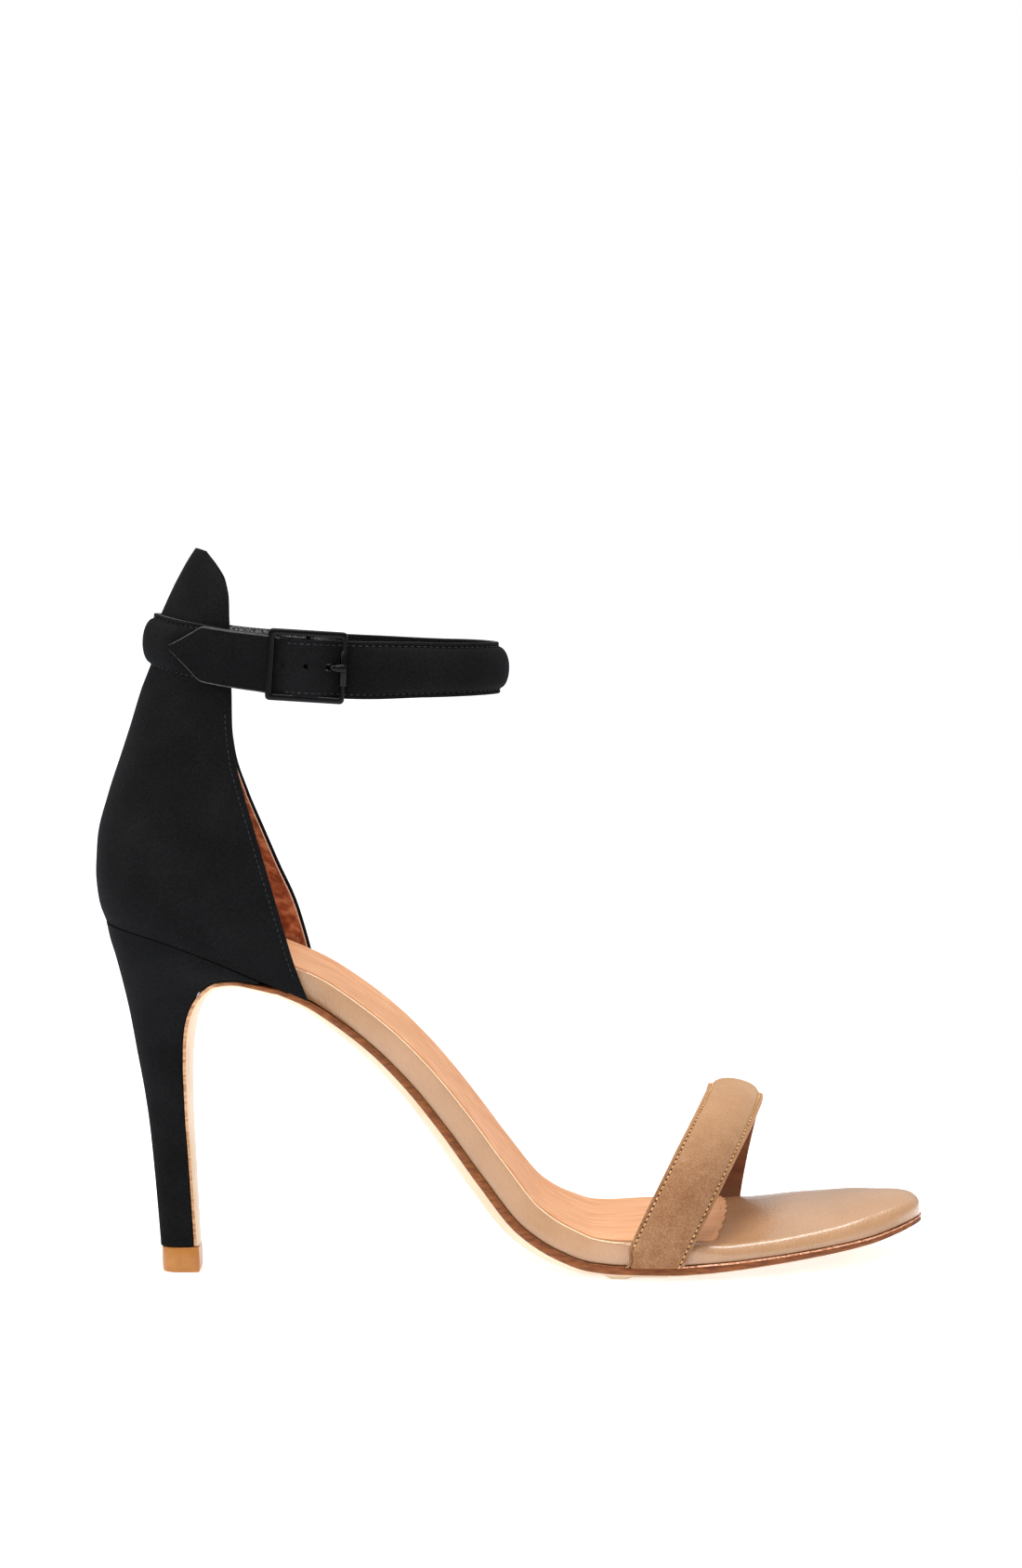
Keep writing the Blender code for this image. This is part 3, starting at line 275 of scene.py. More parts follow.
# suede: split hide with a raised nap, which gives a dull velvety face, pale where the
# fibres stand and darker where they are brushed over. A real nap is about 0.1 mm; it is
# drawn at about 0.5 mm so that it shows
def suede(name, tones, napMm, patchMm, sheen, crestHighlight=None):
    material, tree, place = startMaterial(name, {
        "Roughness": 0.95, "Specular IOR Level": 0.06, "Sheen Weight": sheen,
        "Sheen Roughness": 0.55, "Sheen Tint": hexColour(tones["sheen"])})
    nap = addNode(tree, "TexNoise", {"Scale": perMetre(napMm), "Detail": 3.0, "Roughness": 0.6},
                  {"Vector": place})
    patch = addNode(tree, "TexNoise", {"Scale": perMetre(patchMm), "Detail": 2.0},
                    {"Vector": place})
    fibres = addNode(tree, "ValToRGB", {"stops": tones["nap"]}, {"Fac": nap})
    brushed = addNode(tree, "ValToRGB", {"stops": tones["patch"]}, {"Fac": patch})
    colour = addNode(tree, "MixRGB", {"blend_type": "MULTIPLY", "Fac": 1.0},
                     {"Color1": fibres, "Color2": brushed})
    if crestHighlight:  # painted highlight: the top of the strap is mixed towards a paler tone by height, for the light from above
        height = addNode(tree, "SeparateXYZ", {}, {"Vector": place})
        rise = addNode(tree, "MapRange", {"From Min": crestHighlight["from"], "From Max": crestHighlight["to"],
                                          "To Max": crestHighlight["share"]}, {"Value": height.outputs["Z"]})
        colour = addNode(tree, "MixRGB", {"Color2": hexColour(crestHighlight["tone"])},
                         {"Fac": rise, "Color1": colour})
    return finishMaterial(material, colour, nap, 1.0, 0.15)


blackSuede = suede("blackSuedeNapped", {
    "nap": ((0.2, "#070707"), (0.8, "#1D1D1E")), "patch": ((0.3, "#D0D0D0"), (0.7, "#FFFFFF")),
    "sheen": "#8C8C92"}, napMm=0.45, patchMm=14.0, sheen=0.02)
tanSuede = suede("tanSuedeNapped", {
    "nap": ((0.2, "#724E33"), (0.5, "#946B4B"), (0.8, "#B0886A")),
    "patch": ((0.3, "#E6DCD2"), (0.7, "#FFFFFF")), "sheen": "#F0D0B0"},
    napMm=0.5, patchMm=5.0, sheen=0.32,
    # the paler top of the strap is a painted highlight
    crestHighlight={"from": 0.026, "to": 0.047, "share": 0.55, "tone": "#BC9571"})


# dyed kid leather, glazed: a soft sheen with fine creases across the shoe
def gloveLeather():
    material, tree, place = startMaterial("taupeKidLeatherGlazed", {
        "Roughness": 0.4, "Specular IOR Level": 0.4, "Coat Weight": 1.0, "Coat Roughness": 0.27,
        "Coat IOR": 1.6})
    cloud = addNode(tree, "TexNoise", {"Scale": perMetre(16.0), "Detail": 3.0}, {"Vector": place})
    tone = addNode(tree, "ValToRGB", {"stops": ((0.3, "#A67A50"), (0.7, "#B2855C"))},
                   {"Fac": cloud})
    # kid grain is about 0.4 mm; it is drawn at 1 mm and stretched so that the creases show
    stretched = addNode(tree, "Mapping", {"Scale": (1.0, 0.3, 0.5)}, {"Vector": place})
    cells = addNode(tree, "TexVoronoi", {"Scale": perMetre(1.0), "feature": "DISTANCE_TO_EDGE"},
                    {"Vector": stretched})
    edges = addNode(tree, "MapRange", {"From Max": 0.25}, {"Value": cells})
    waves = addNode(tree, "TexNoise", {"Scale": perMetre(2.2), "Detail": 2.0},
                    {"Vector": stretched})
    grain = addNode(tree, "Math", {"operation": "MULTIPLY_ADD", 1: 0.35}, {0: edges, 2: waves})
    return finishMaterial(material, tone, grain, 0.8, 0.3)


# vegetable-tanned lining leather, undyed: warm, almost matt, with faint streaks along
# the foot where the hide was stretched over the board
def liningLeather(name, tones, roughness, streakMm, poreMm):
    material, tree, place = startMaterial(name, {
        "Roughness": roughness, "Specular IOR Level": 0.2})
    drawn = addNode(tree, "Mapping", {"Scale": (0.12, 1.0, 0.35)}, {"Vector": place})
    streak = addNode(tree, "TexNoise", {"Scale": perMetre(streakMm), "Detail": 4.0,
                                        "Roughness": 0.55}, {"Vector": drawn})
    tone = addNode(tree, "ValToRGB", {"stops": tones}, {"Fac": streak})
    pores = addNode(tree, "TexNoise", {"Scale": perMetre(poreMm), "Detail": 2.0},
                    {"Vector": place})
    return finishMaterial(material, tone, pores, 0.3, 0.1)


taupeLeather = gloveLeather()
sockLeather = liningLeather("sockCalfVegetableTanned", (
    (0.3, "#CA8E64"), (0.5, "#D49B71"), (0.7, "#DFAA81")), 0.55, 1.8, 0.5)
rustLining = liningLeather("rustPigskinLining", (
    (0.36, "#7A3B20"), (0.5, "#9E5535"), (0.64, "#C07A54")), 0.5, 0.8, 0.45)
strapLining = liningLeather("toeStrapLiningLeather", (
    (0.3, "#6E4530"), (0.5, "#80533A"), (0.7, "#8D5F45")), 0.6, 2.5, 0.5)


# black coated split, pebbled and shiny: behind the heel its pebbles are painted pale as lit
# highlights; in front they are painted dark as shade and made less glossy
def coatedLining():
    material, tree, place = startMaterial("blackCoatedLining", {"Roughness": 0.25})
    pebbles = addNode(tree, "TexVoronoi", {"Scale": perMetre(0.6)}, {"Vector": place})
    sides = addNode(tree, "SeparateXYZ", {}, {"Vector": place})
    # painted light and shade: this mask darkens the pebbles in front of the heel, and also lowers
    # their gloss
    frontShadeAndDullness = addNode(tree, "MapRange", {"From Min": -0.053, "From Max": -0.044, "To Max": 0.6},
                   {"Value": sides.outputs["X"]})
    depth = addNode(tree, "Math", {"operation": "ADD"}, {0: pebbles, 1: frontShadeAndDullness})
    tone = addNode(tree, "ValToRGB", {"stops": ((0.12, "#8C8C8F"), (0.5, "#0B0B0C"))},
                   {"Fac": depth})
    gloss = addNode(tree, "MapRange", {"From Max": 0.6, "To Min": 0.8, "To Max": 0.05},
                    {"Value": frontShadeAndDullness})
    shader = tree.nodes["Principled BSDF"]
    tree.links.new(gloss.outputs["Result"], shader.inputs["Specular IOR Level"])
    return finishMaterial(material, tone, pebbles, 1.0, 0.3)


# cut edge of the sole, inked and burnished: brown round the foot, left nearly natural
# down the front of the heel
def inkedEdge():
    material, tree, place = startMaterial("soleEdgeInked", {
        "Roughness": 0.5, "Specular IOR Level": 0.25})
    pressed = addNode(tree, "Mapping", {"Scale": (0.2, 0.2, 1.0)}, {"Vector": place})
    layers = addNode(tree, "TexNoise", {"Scale": perMetre(0.7), "Detail": 3.0},
                     {"Vector": pressed})
    inked, bare = (addNode(tree, "ValToRGB", {"stops": stops}, {"Fac": layers}) for stops in (
        ((0.3, "#5C2E13"), (0.7, "#8C5126")), ((0.34, "#96643F"), (0.64, "#CDA079"))))
    where = addNode(tree, "SeparateXYZ", {}, {"Vector": place})
    onFlap = addNode(tree, "MapRange", {"From Min": -0.070, "From Max": -0.080},
                     {"Value": where.outputs["X"]})
    tone = addNode(tree, "MixRGB", {}, {"Fac": onFlap, "Color1": inked, "Color2": bare})
    return finishMaterial(material, tone, layers, 0.3, 0.15)


# die-cast zinc, stove-enamelled black: smooth with soft bright edges
def blackEnamel():
    material, tree, place = startMaterial("zincEnamelledBlack", {
        "Base Color": hexColour("#020202"), "Roughness": 0.2, "Specular IOR Level": 0.1,
        "Coat Weight": 0.12, "Coat Roughness": 0.05})
    orangePeel = addNode(tree, "TexNoise", {"Scale": perMetre(0.9), "Detail": 1.0},
                         {"Vector": place})
    return finishMaterial(material, None, orangePeel, 0.05, 0.1)


# twisted polyester sewing thread: fine slanting ply lines
def sewingThread(name, light, dark, roughness):
    material, tree, place = startMaterial(name, {
        "Roughness": roughness, "Specular IOR Level": 0.25})
    plies = addNode(tree, "TexWave", {"Scale": perMetre(0.5) / 6.3, "Distortion": 0.4,
                                      "bands_direction": "DIAGONAL"}, {"Vector": place})
    tone = addNode(tree, "ValToRGB", {"stops": ((0.2, dark), (0.8, light))},
                   {"Fac": plies.outputs["Fac"]})
    return finishMaterial(material, tone)


def cutEdge(name, dark, light):  # clouded finish between two tones: raw cut edge of suede or lining, paler than its face; it also gives the painted shade in the needle holes and the painted highlight along the cover's top edge
    return cloudedFinish(name, {"Roughness": 0.8}, 0.35, 2.0, ((0.3, dark), (0.7, light)))


blackLining = coatedLining()
brownEdge = inkedEdge()
buckleBlack = blackEnamel()
goldThread = sewingThread("tanPolyesterThread", "#DFB37C", "#C49259", 0.5)
blackThread = sewingThread("blackPolyesterThread", "#242425", "#0E0E0F", 0.55)
needleHoleShade = cutEdge("prickedSuedeShade", "#2E1A0C", "#4A2D18")
blackCutEdge = cutEdge("blackSuedeCutEdge", "#1E1D1D", "#4C4A49")
# painted highlight: a pale line along the top edge of the cover's side
paintedEdgeHighlight = cutEdge("coverEdgeHighlightPainted", "#E2B994", "#F3D3B4")
paleCutEdge = cutEdge("liningCutEdge", "#C58F72", "#E9BFA4")
# bark-tanned sole bend, buffed: pale cream with faint fibre marks
creamLeather = cloudedFinish(
    "soleBendBuffed", {"Roughness": 0.5, "Specular IOR Level": 0.4, "Coat Weight": 0.1,
                       "Coat Roughness": 0.3}, 11.0, 5.0, ((0.3, "#D0B595"), (0.7, "#DEC6A9")),
    {"mm": 0.4, "detail": 2.0, "strength": 0.15, "depthMm": 0.1})
# moulded thermoplastic wear pad: amber, slightly see-through at its corners
amberPad = cloudedFinish(
    "amberUrethaneMoulded", {"Roughness": 0.32, "Subsurface Weight": 0.25, "Subsurface Scale": 0.5,
                             "Subsurface Radius": (0.004, 0.002, 0.001)},
    5.0, 2.0, ((0.3, "#A3641F"), (0.7, "#B67A30")))
# copper foil pressed over the feather, with a bump where it is creased; its pale spots are painted
# glints
copperEdge = cloudedFinish(
    "copperFoilFeatherEdge", {"Metallic": 0.7, "Roughness": 0.3}, 0.8, 4.0,
    ((0.35, "#A0603F"), (0.62, "#F2B999")),
    {"mm": 0.8, "detail": 4.0, "strength": 0.8, "depthMm": 0.2})
print("materials ready:", len(bpy.data.materials))


# the last: the feather line between insole and outsole, and the outline of the sole.
# z is the height of the line, lateral and medial the sole's edges, rand the height of
# the insole's side, pad its crown, corner the rounding of its upper edge, inset how far
# it stands back, edge the outsole's thickness at its rim, belly what it gains inside
sole = {
    "toeTip": 107.3, "heelBack": -110.0, "seatMiddle": -78.0, "seatHalfWidth": 26.5,
    "seatRoundness": 2.3, "seatAxis": -1.0, "toeStart": 90.0, "flatFrom": 22.0, "flatTo": 42.0,
    "flatBelow": 0.9,
    "columns": ("x", "z", "lateral", "medial", "rand", "pad", "corner", "inset", "edge", "belly"),
    "rows": (
        (107.3, 11.0, -6.0, -2.2, 1.6, 0.1, 1.0, 0.3, 0.9, 0.4),
        (106.8, 10.8, -8.9, 0.8, 2.9, 0.2, 1.8, 0.3, 1.0, 0.4),
        (105.9, 10.6, -11.4, 3.4, 4.1, 0.5, 2.5, 0.4, 1.1, 0.5),
        (104.0, 10.2, -14.6, 6.8, 5.1, 1.2, 3.0, 0.5, 1.15, 0.5),
        (100.0, 9.3, -19.2, 12.2, 5.7, 2.1, 3.4, 0.7, 1.25, 0.6),
        (93.0, 7.9, -24.6, 19.2, 5.8, 3.4, 3.6, 0.8, 1.4, 0.7),
        (85.0, 7.0, -29.4, 25.8, 5.3, 4.2, 3.6, 0.8, 1.5, 0.8),
        (75.0, 6.2, -34.2, 32.0, 4.9, 4.4, 3.4, 0.8, 1.6, 0.9),
        (65.0, 5.5, -37.8, 36.0, 4.7, 3.6, 3.2, 0.8, 1.7, 1.0),
        (55.0, 4.8, -39.6, 38.2, 4.7, 2.8, 2.8, 0.8, 1.85, 1.1),
        (47.0, 4.4, -40.0, 37.8, 5.3, 2.2, 2.2, 0.8, 2.0, 1.2),
        (40.0, 4.1, -39.7, 36.6, 5.8, 1.6, 1.7, 0.8, 2.0, 1.2),
        (32.0, 4.1, -38.3, 34.4, 6.1, 0.9, 1.4, 0.8, 2.0, 1.2),
        (25.0, 4.1, -36.4, 31.6, 6.3, 0.2, 0.9, 0.8, 2.0, 1.3),
        (18.0, 4.6, -34.0, 28.4, 6.6, -0.4, 0.6, 0.8, 1.9, 1.7),
        (9.5, 7.5, -31.4, 25.0, 7.0, -0.8, 0.6, 0.8, 1.8, 2.4),
        (0.0, 13.8, -29.2, 21.6, 7.0, -1.0, 0.6, 0.8, 1.7, 3.0),
        (-10.0, 26.8, -27.8, 19.0, 7.0, -1.0, 0.6, 0.8, 1.6, 3.2),
        (-19.5, 40.6, -27.2, 18.2, 6.9, -1.0, 0.6, 0.8, 1.5, 3.0),
        (-29.0, 53.0, -27.0, 18.2, 6.8, -1.0, 0.6, 0.8, 1.4, 2.7),
        (-38.5, 63.0, -27.0, 18.8, 6.7, -1.1, 0.6, 0.8, 1.3, 2.6),
        (-48.0, 70.8, -27.1, 20.4, 6.6, -1.2, 0.6, 1.8, 1.3, 2.3),
        (-55.2, 75.6, -27.3, 22.0, 6.6, -1.3, 0.6, 2.9, 1.2, 2.0),
        (-62.5, 79.0, -27.5, 23.8, 6.5, -1.4, 0.6, 2.8, 1.2, 1.7),
        (-68.7, 81.7, -27.5, 24.8, 6.4, -1.5, 0.6, 2.5, 1.2, 1.4),
        (-78.0, 86.0, -27.5, 25.5, 6.2, -1.5, 0.6, 2.2, 1.2, 1.4),
        (-87.2, 89.8, -27.5, 25.5, 6.0, -1.5, 0.6, 2.2, 1.2, 1.4),
        (-98.0, 93.4, -27.5, 25.5, 5.6, -1.2, 0.6, 2.2, 1.2, 1.4),
        (-110.0, 96.2, -27.5, 25.5, 5.0, -0.8, 0.6, 2.2, 1.2, 1.4),
    ),
}
soleAt = tableCurves(sole["columns"], sole["rows"])


def outline(x, inset):  # lateral and medial edge of the sole at x, drawn in by inset
    if x < sole["seatMiddle"]:
        length = sole["seatMiddle"] - sole["heelBack"] - inset
        along = min(max((sole["seatMiddle"] - x) / length, 0.0), 1.0)
        power = sole["seatRoundness"]
        half = (sole["seatHalfWidth"] - inset) * (1.0 - along ** power) ** (1.0 / power)
        return sole["seatAxis"] - half, sole["seatAxis"] + half
    start, tip = sole["toeStart"], sole["toeTip"]
    if x > start:
        x = start + (x - start) * (tip - start) / (tip - start - inset)
    return soleAt["lateral"](x) + inset, soleAt["medial"](x) - inset


def upNormals(path):  # of a side-view path that runs from the toe back
    run = unit(np.gradient(np.asarray(path, float), axis=0))
    return np.column_stack((run[:, 1], -run[:, 0]))


def stations(start, stop, step):  # closer together near start
    total = abs(stop - start)
    near = (0.0, 0.08, 0.25, 0.5, 0.85, 1.3, 1.9, 2.6, 3.5, 4.6, 6.0, 7.6, 9.4)
    rest = np.linspace(11.4, total, int(round((total - 11.4) / step)) + 1)
    return start + math.copysign(1.0, stop - start) * np.concatenate((near, rest))


# the outsole, with the flap that covers the front of the heel
outsole = {
    "step": 2.0, "flapStep": 1.8, "rimRound": 0.3, "rimWidth": 6.0, "tipBack": 0.6,
    "flapColumns": ("x", "z", "edge", "belly"),
    "flapRows": (
        (-62.5, 78.85, 1.2, 1.7), (-68.5, 80.3, 1.1, 1.5), (-74.5, 81.2, 1.0, 1.4),
        (-79.6, 80.6, 1.0, 1.4), (-83.6, 78.2, 1.0, 1.4), (-86.3, 75.0, 1.0, 1.4),
        (-88.2, 71.3, 1.0, 1.3), (-89.4, 67.0, 1.0, 1.2), (-90.1, 61.0, 1.0, 1.0),
        (-90.4, 53.0, 0.9, 0.9), (-90.4, 43.0, 0.9, 0.8), (-90.1, 33.0, 0.9, 0.8),
        (-89.8, 22.5, 0.9, 0.7), (-89.4, 7.2, 0.9, 0.7)),
}
flapKeys = runLengths([row[:2] for row in outsole["flapRows"]])
flapAt = tableCurves(outsole["flapColumns"], outsole["flapRows"], flapKeys)

heel = {
    "padHeight": 6.9, "seatRings": 10.0,
    "places": [(k / 18.0) ** 2 for k in range(19)],  # from the back, 0, to the front, 1
    "padPlaces": [(k / 14.0) ** 2 for k in range(15)],
    "columns": ("backX", "backZ", "down", "lateral", "medial", "roundness"),
    "rows": (
        (-109.9, 96.0, 5.0, -27.2, 24.6, 2.7), (-109.2, 92.0, 10.5, -25.9, 23.6, 2.6),
        (-107.9, 87.0, 16.0, -23.4, 21.2, 2.5), (-106.7, 81.5, 21.0, -20.2, 18.0, 2.4),
        (-105.5, 75.5, 26.0, -17.0, 14.9, 2.3), (-104.4, 69.0, 32.0, -14.3, 12.2, 2.2),
        (-103.1, 60.0, 41.5, -11.6, 9.6, 2.2), (-101.6, 50.0, 51.8, -9.7, 7.7, 2.2),
        (-100.5, 40.0, 61.8, -8.4, 6.5, 2.2), (-99.8, 30.0, 71.8, -7.5, 5.6, 2.3),
        (-99.2, 19.5, 82.3, -6.8, 4.9, 2.4), (-98.6, 7.2, 94.6, -6.3, 4.3, 2.6)),
}
heelAt = tableCurves(heel["columns"], heel["rows"], [row[2] for row in heel["rows"]])


def mirrored(side, middle, crown):  # a section from its outer half, over the middle
    return ([(middle - y, n) for y, n in side] + [(middle, crown)]
            + [(middle + y, n) for y, n in side[::-1]])


def stoodUp(section, point, normal, lift=0.0):  # a section set square to the sole's line
    return [(point[0] + normal[0] * (n + lift), y, point[1] + normal[1] * (n + lift))
            for y, n in section]


def outsoleRing(point, normal, lateral, medial, edge, belly):
    middle, half = (lateral + medial) / 2, (medial - lateral) / 2
    top, soft = -gap / 2, min(outsole["rimRound"], 0.3 * half, 0.35 * edge)
    rim = min(outsole["rimWidth"], 0.6 * half)
    side = [(half - soft, top), (half - soft * 0.3, top - soft * 0.3), (half, top - soft),
            (half, -edge + soft), (half - soft * 0.3, -edge + soft * 0.3)]
    for t in (0.985, 0.96, 0.92, 0.86, 0.78, 0.68, 0.55, 0.4, 0.2):
        inside = min(1.0, (1.0 - t) * half / rim)
        side.append((half * t, -edge - belly * (1.0 - (1.0 - inside) ** 2)))
    across = [(middle + half * t, top) for t in (0.6, 0.2, -0.2, -0.6)]
    return stoodUp(across + mirrored(side, middle, -edge - belly), point, normal)


def buildOutsole():
    xs = stations(sole["toeTip"] - outsole["tipBack"], outsole["flapRows"][0][0], outsole["step"])
    downs = np.arange(2.0, flapKeys[-1], outsole["flapStep"])
    downs[-1] = flapKeys[-1]
    path = [(x, soleAt["z"](x)) for x in xs] + [(flapAt["x"](d), flapAt["z"](d)) for d in downs]
    normals = upNormals(path)
    rings = [outsoleRing(path[i], normals[i], *outline(x, 0.0), soleAt["edge"](x),
                         soleAt["belly"](x)) for i, x in enumerate(xs)]
    split = outline(xs[-1], 0.0)
    for i, down in enumerate(downs, len(xs)):
        reach = min(1.0, down / heel["rows"][0][2])
        sides = [edge + (heelAt[side](down) - edge) * reach
                 for edge, side in zip(split, ("lateral", "medial"))]
        rings.append(outsoleRing(path[i], normals[i], *sides, flapAt["edge"](down),
                                 flapAt["belly"](down)))
    rings = np.array(rings)
    x, z = rings[:, :, 0], rings[:, :, 2]
    z[(x > sole["flatFrom"]) & (x < sole["flatTo"]) & (z < sole["flatBelow"])] = 0.0
    z[:] = np.maximum(z, 0.0)
    z[-1] = heel["padHeight"] + gap
    inked, inkedBack = 9, 6  # columns over the top and round both rims; the rest is bare
    slots = [0] * inked + [1] * (rings.shape[1] - inked - inkedBack) + [0] * inkedBack
    return loftPiece("outsoleLeather", rings, [brownEdge, creamLeather],
                     ["outsole"], slots)


# the insole board in its taupe cover
insole = {"step": 2.0, "swellFrom": 97.0, "swellOver": 9.0, "swell": (0.03, 1.0), "foot": 0.45}


def insoleTop(x, across, half, corner):  # above the feather line, across from -1 to 1
    flat = max(half - corner, 0.1)
    along = min(abs(across * half) / flat, 1.0)
    return soleAt["rand"](x) + soleAt["pad"](x) * (1.0 - along ** 2)


def insoleStations():
    fromToe = stations(sole["toeTip"] - 0.3, -40.0, insole["step"])
    fromHeel = stations(sole["heelBack"] + 2.25, -42.0, insole["step"])
    return list(fromToe) + list(fromHeel[::-1])


def buildInsole():
    xs = insoleStations()
    path = [(x, soleAt["z"](x)) for x in xs]
    normals = upNormals(path)
    rings = []
    for i, x in enumerate(xs):
        forward = min(max((x - insole["swellFrom"]) / insole["swellOver"], 0.0), 1.0)
        normals[i] = unit(normals[i] * (1.0 - forward) + np.array(insole["swell"]) * forward)
        lateral, medial = outline(x, soleAt["inset"](x))
        middle, half = (lateral + medial) / 2, (medial - lateral) / 2
        rand = soleAt["rand"](x)
        corner = min(soleAt["corner"](x), 0.6 * half, 0.8 * rand)
        straight = rand - corner - insole["foot"]
        side = [(half - 0.5, 0.0), (half - 0.12, 0.12)]
        side += [(half, insole["foot"] + straight * part) for part in (0.0, 0.35, 0.7)]
        for degrees in (0.0, 15.0, 30.0, 45.0, 60.0, 75.0):
            a = math.radians(degrees)
            side.append((half - corner * (1.0 - math.cos(a)), rand - corner * (1.0 - math.sin(a))))
        for part in (1.0, 0.94, 0.86, 0.76, 0.64, 0.5, 0.34, 0.17):
            reach = part * (half - corner)
            side.append((reach, insoleTop(x, reach / half, half, corner)))
        section = mirrored(side, middle, insoleTop(x, 0.0, half, corner))
        rings.append(stoodUp(section, path[i], normals[i], gap / 2))
    points, faces, slotOfFace = lofted(rings)
    piece = makePiece("insoleCover", points, faces, [taupeLeather], slotOfFace, sharp=60.0)
    return finishPiece(piece, ["insole"])


# the sock lining, pinked across its front edge under the toe strap
sock = {"front": 55.3, "thickness": 0.55, "margin": 0.45, "marginBall": 2.2, "lift": 0.12,
        "widenFrom": 18.0, "widenOver": 22.0,
        "pinkPitch": 8.0, "pinkDepth": 0.3, "bow": 3.0, "skew": 1.25, "edgeFall": 0.35,
        "stitchBack": 1.5, "heelGap": 3.2, "frontSteps": (0.0, 1.3, 2.6), "bowOver": 14.0}


def sockEdge(x):
    corner, inset = soleAt["corner"](x), soleAt["inset"](x)
    widen = min(max((x - sock["widenFrom"]) / sock["widenOver"], 0.0), 1.0)
    margin = sock["margin"] + (sock["marginBall"] - sock["margin"]) * widen
    lateral, medial = outline(x, inset)
    edgeLateral, edgeMedial = outline(x, inset + 0.75 * corner + margin)
    middle = (lateral + medial) / 2
    half = (medial - lateral) / 2
    reach = max(min(middle - edgeLateral, edgeMedial - middle), 1.2)
    return middle, half, corner, reach


def sockPoint(x, across, height):  # a point over the insole's top, across in mm from its middle
    z, step = soleAt["z"](x), 0.5
    run = unit((-2 * step, soleAt["z"](x - step) - soleAt["z"](x + step)))
    normal = (run[1], -run[0])
    middle, half, corner = sockEdge(x)[:3]
    n = insoleTop(x, across / half, half, corner) + gap / 2 + height
    return x + normal[0] * n, middle + across, z + normal[1] * n


def buildSock():
    first, second, third = (sock["front"] - back for back in sock["frontSteps"])
    xs = [x for x in insoleStations() if sole["heelBack"] + sock["heelGap"] < x < third]
    xs = [first, second] + xs
    parts = np.concatenate((np.linspace(-1.0, -0.9, 5), np.linspace(-0.88, 0.88, 81),
                            np.linspace(0.9, 1.0, 5)))
    rings = []
    for i, x in enumerate(xs):
        reach = sockEdge(x)[3]
        blend = max(0.0, 1.0 - (sock["front"] - x) / sock["bowOver"])
        low, high = [], []
        for t in parts:
            across = t * reach
            pink = sock["pinkDepth"] * math.sin(2 * math.pi * across / sock["pinkPitch"])
            shift = blend * (sock["skew"] * t - sock["bow"] * t * t) + (pink if i == 0 else 0.0)
            fall = sock["edgeFall"] * max(0.0, (abs(t) - 0.97) / 0.03) ** 2
            low.append(sockPoint(x + shift, across, sock["lift"] - 0.1))
            high.append(sockPoint(x + shift, across, sock["lift"] + sock["thickness"] - fall))
        rings.append(low + high[::-1])
    piece = loftPiece("sockLining", rings, [sockLeather], ["sock"])
    x = sock["front"] - sock["stitchBack"]
    reach = sockEdge(x)[3]
    line = [sockPoint(x + sock["skew"] * t - sock["bow"] * t * t, t * reach,
                      sock["lift"] + sock["thickness"]) for t in np.linspace(-0.97, 0.97, 80)]
    stitchRow("sockStitches", line, [(0.0, 0.0, 1.0)] * len(line),
              {"pitch": 1.7, "length": 1.15, "radius": 0.16, "sink": 0.1}, goldThread)
    return piece


print("sole:", [piece.name for piece in (buildOutsole(), buildInsole(), buildSock())])


# the heel block and its wear pad
def roundedHalf(u, power):  # half width from the back point, 0, to the front, 1
    return (1.0 - (1.0 - u) ** power) ** (1.0 / power)


def bothSides(half, middle):  # a ring from a row of points down its inner side
    return ([(x, middle - y, z) for x, y, z in half[::-1]]
            + [(x, middle + y, z) for x, y, z in half])


def buildHeel():
    levels = [row[2] for row in heel["rows"]]
    downs = [d for a, b in zip(levels[:-1], levels[1:]) for d in np.linspace(a, b, 5)[:-1]]
    downs.append(levels[-1])
    path = [(flapAt["x"](d), flapAt["z"](d)) for d in downs]
    normals = upNormals(path)
    seatBackX, seatBackZ = heel["rows"][0][:2]
    seatFrontX, seatFrontZ = path[0][0], soleAt["z"](path[0][0])
    rings = []
    for k, down in enumerate(downs):
        frontX, frontZ = np.array(path[k]) + normals[k] * gap / 2
        if k == 0:
            frontZ = soleAt["z"](frontX) - gap / 2
        backX, backZ = heelAt["backX"](down), heelAt["backZ"](down)
        seat = max(0.0, 1.0 - k / heel["seatRings"]) ** 2  # how far the seat's curve is followed
        lateral, medial = heelAt["lateral"](down), heelAt["medial"](down)
        half = []
        for u in heel["places"]:
            seatX = seatBackX + (seatFrontX - seatBackX) * u
            line = seatBackZ + (seatFrontZ - seatBackZ) * u
            z = backZ + (frontZ - backZ) * u + seat * (soleAt["z"](seatX) - line)
            wide = max(roundedHalf(u, heelAt["roundness"](down)), 0.01)
            half.append((backX + (frontX - backX) * u, (medial - lateral) / 2 * wide, z))
        rings.append(bothSides(half, (lateral + medial) / 2))
    rings[-1] = [(x, y, heel["padHeight"] + gap) for x, y, z in rings[-1]]
    rings[0] = [(x, y, z - gap / 2) for x, y, z in rings[0]]
    return loftPiece("heelSuedeCovered", rings, [blackSuede], ["heel"])


def buildTopPiece():
    lateral, medial, roundness = heel["rows"][-1][3:]
    back, front = heel["rows"][-1][0] + 0.3, outsole["flapRows"][-1][0] + 1.5
    wide, high = (medial - lateral) / 2 + 0.1, heel["padHeight"]
    rings = []
    for z, shrink in ((high, 0.25), (high - 0.1, 0.08), (high - 0.3, 0.0), (high / 2, -0.05),
                      (0.7, 0.0), (0.3, 0.12), (0.1, 0.3), (0.0, 0.55)):
        half = [(back + shrink + (front - back - 2 * shrink) * u,
                 (wide - shrink) * max(roundedHalf(u, roundness), 0.03), z)
                for u in heel["padPlaces"]]
        rings.append(bothSides(half, (lateral + medial) / 2))
    return loftPiece("topPiece", rings, [amberPad], ["top_piece"])


print("heel:", [piece.name for piece in (buildHeel(), buildTopPiece())])


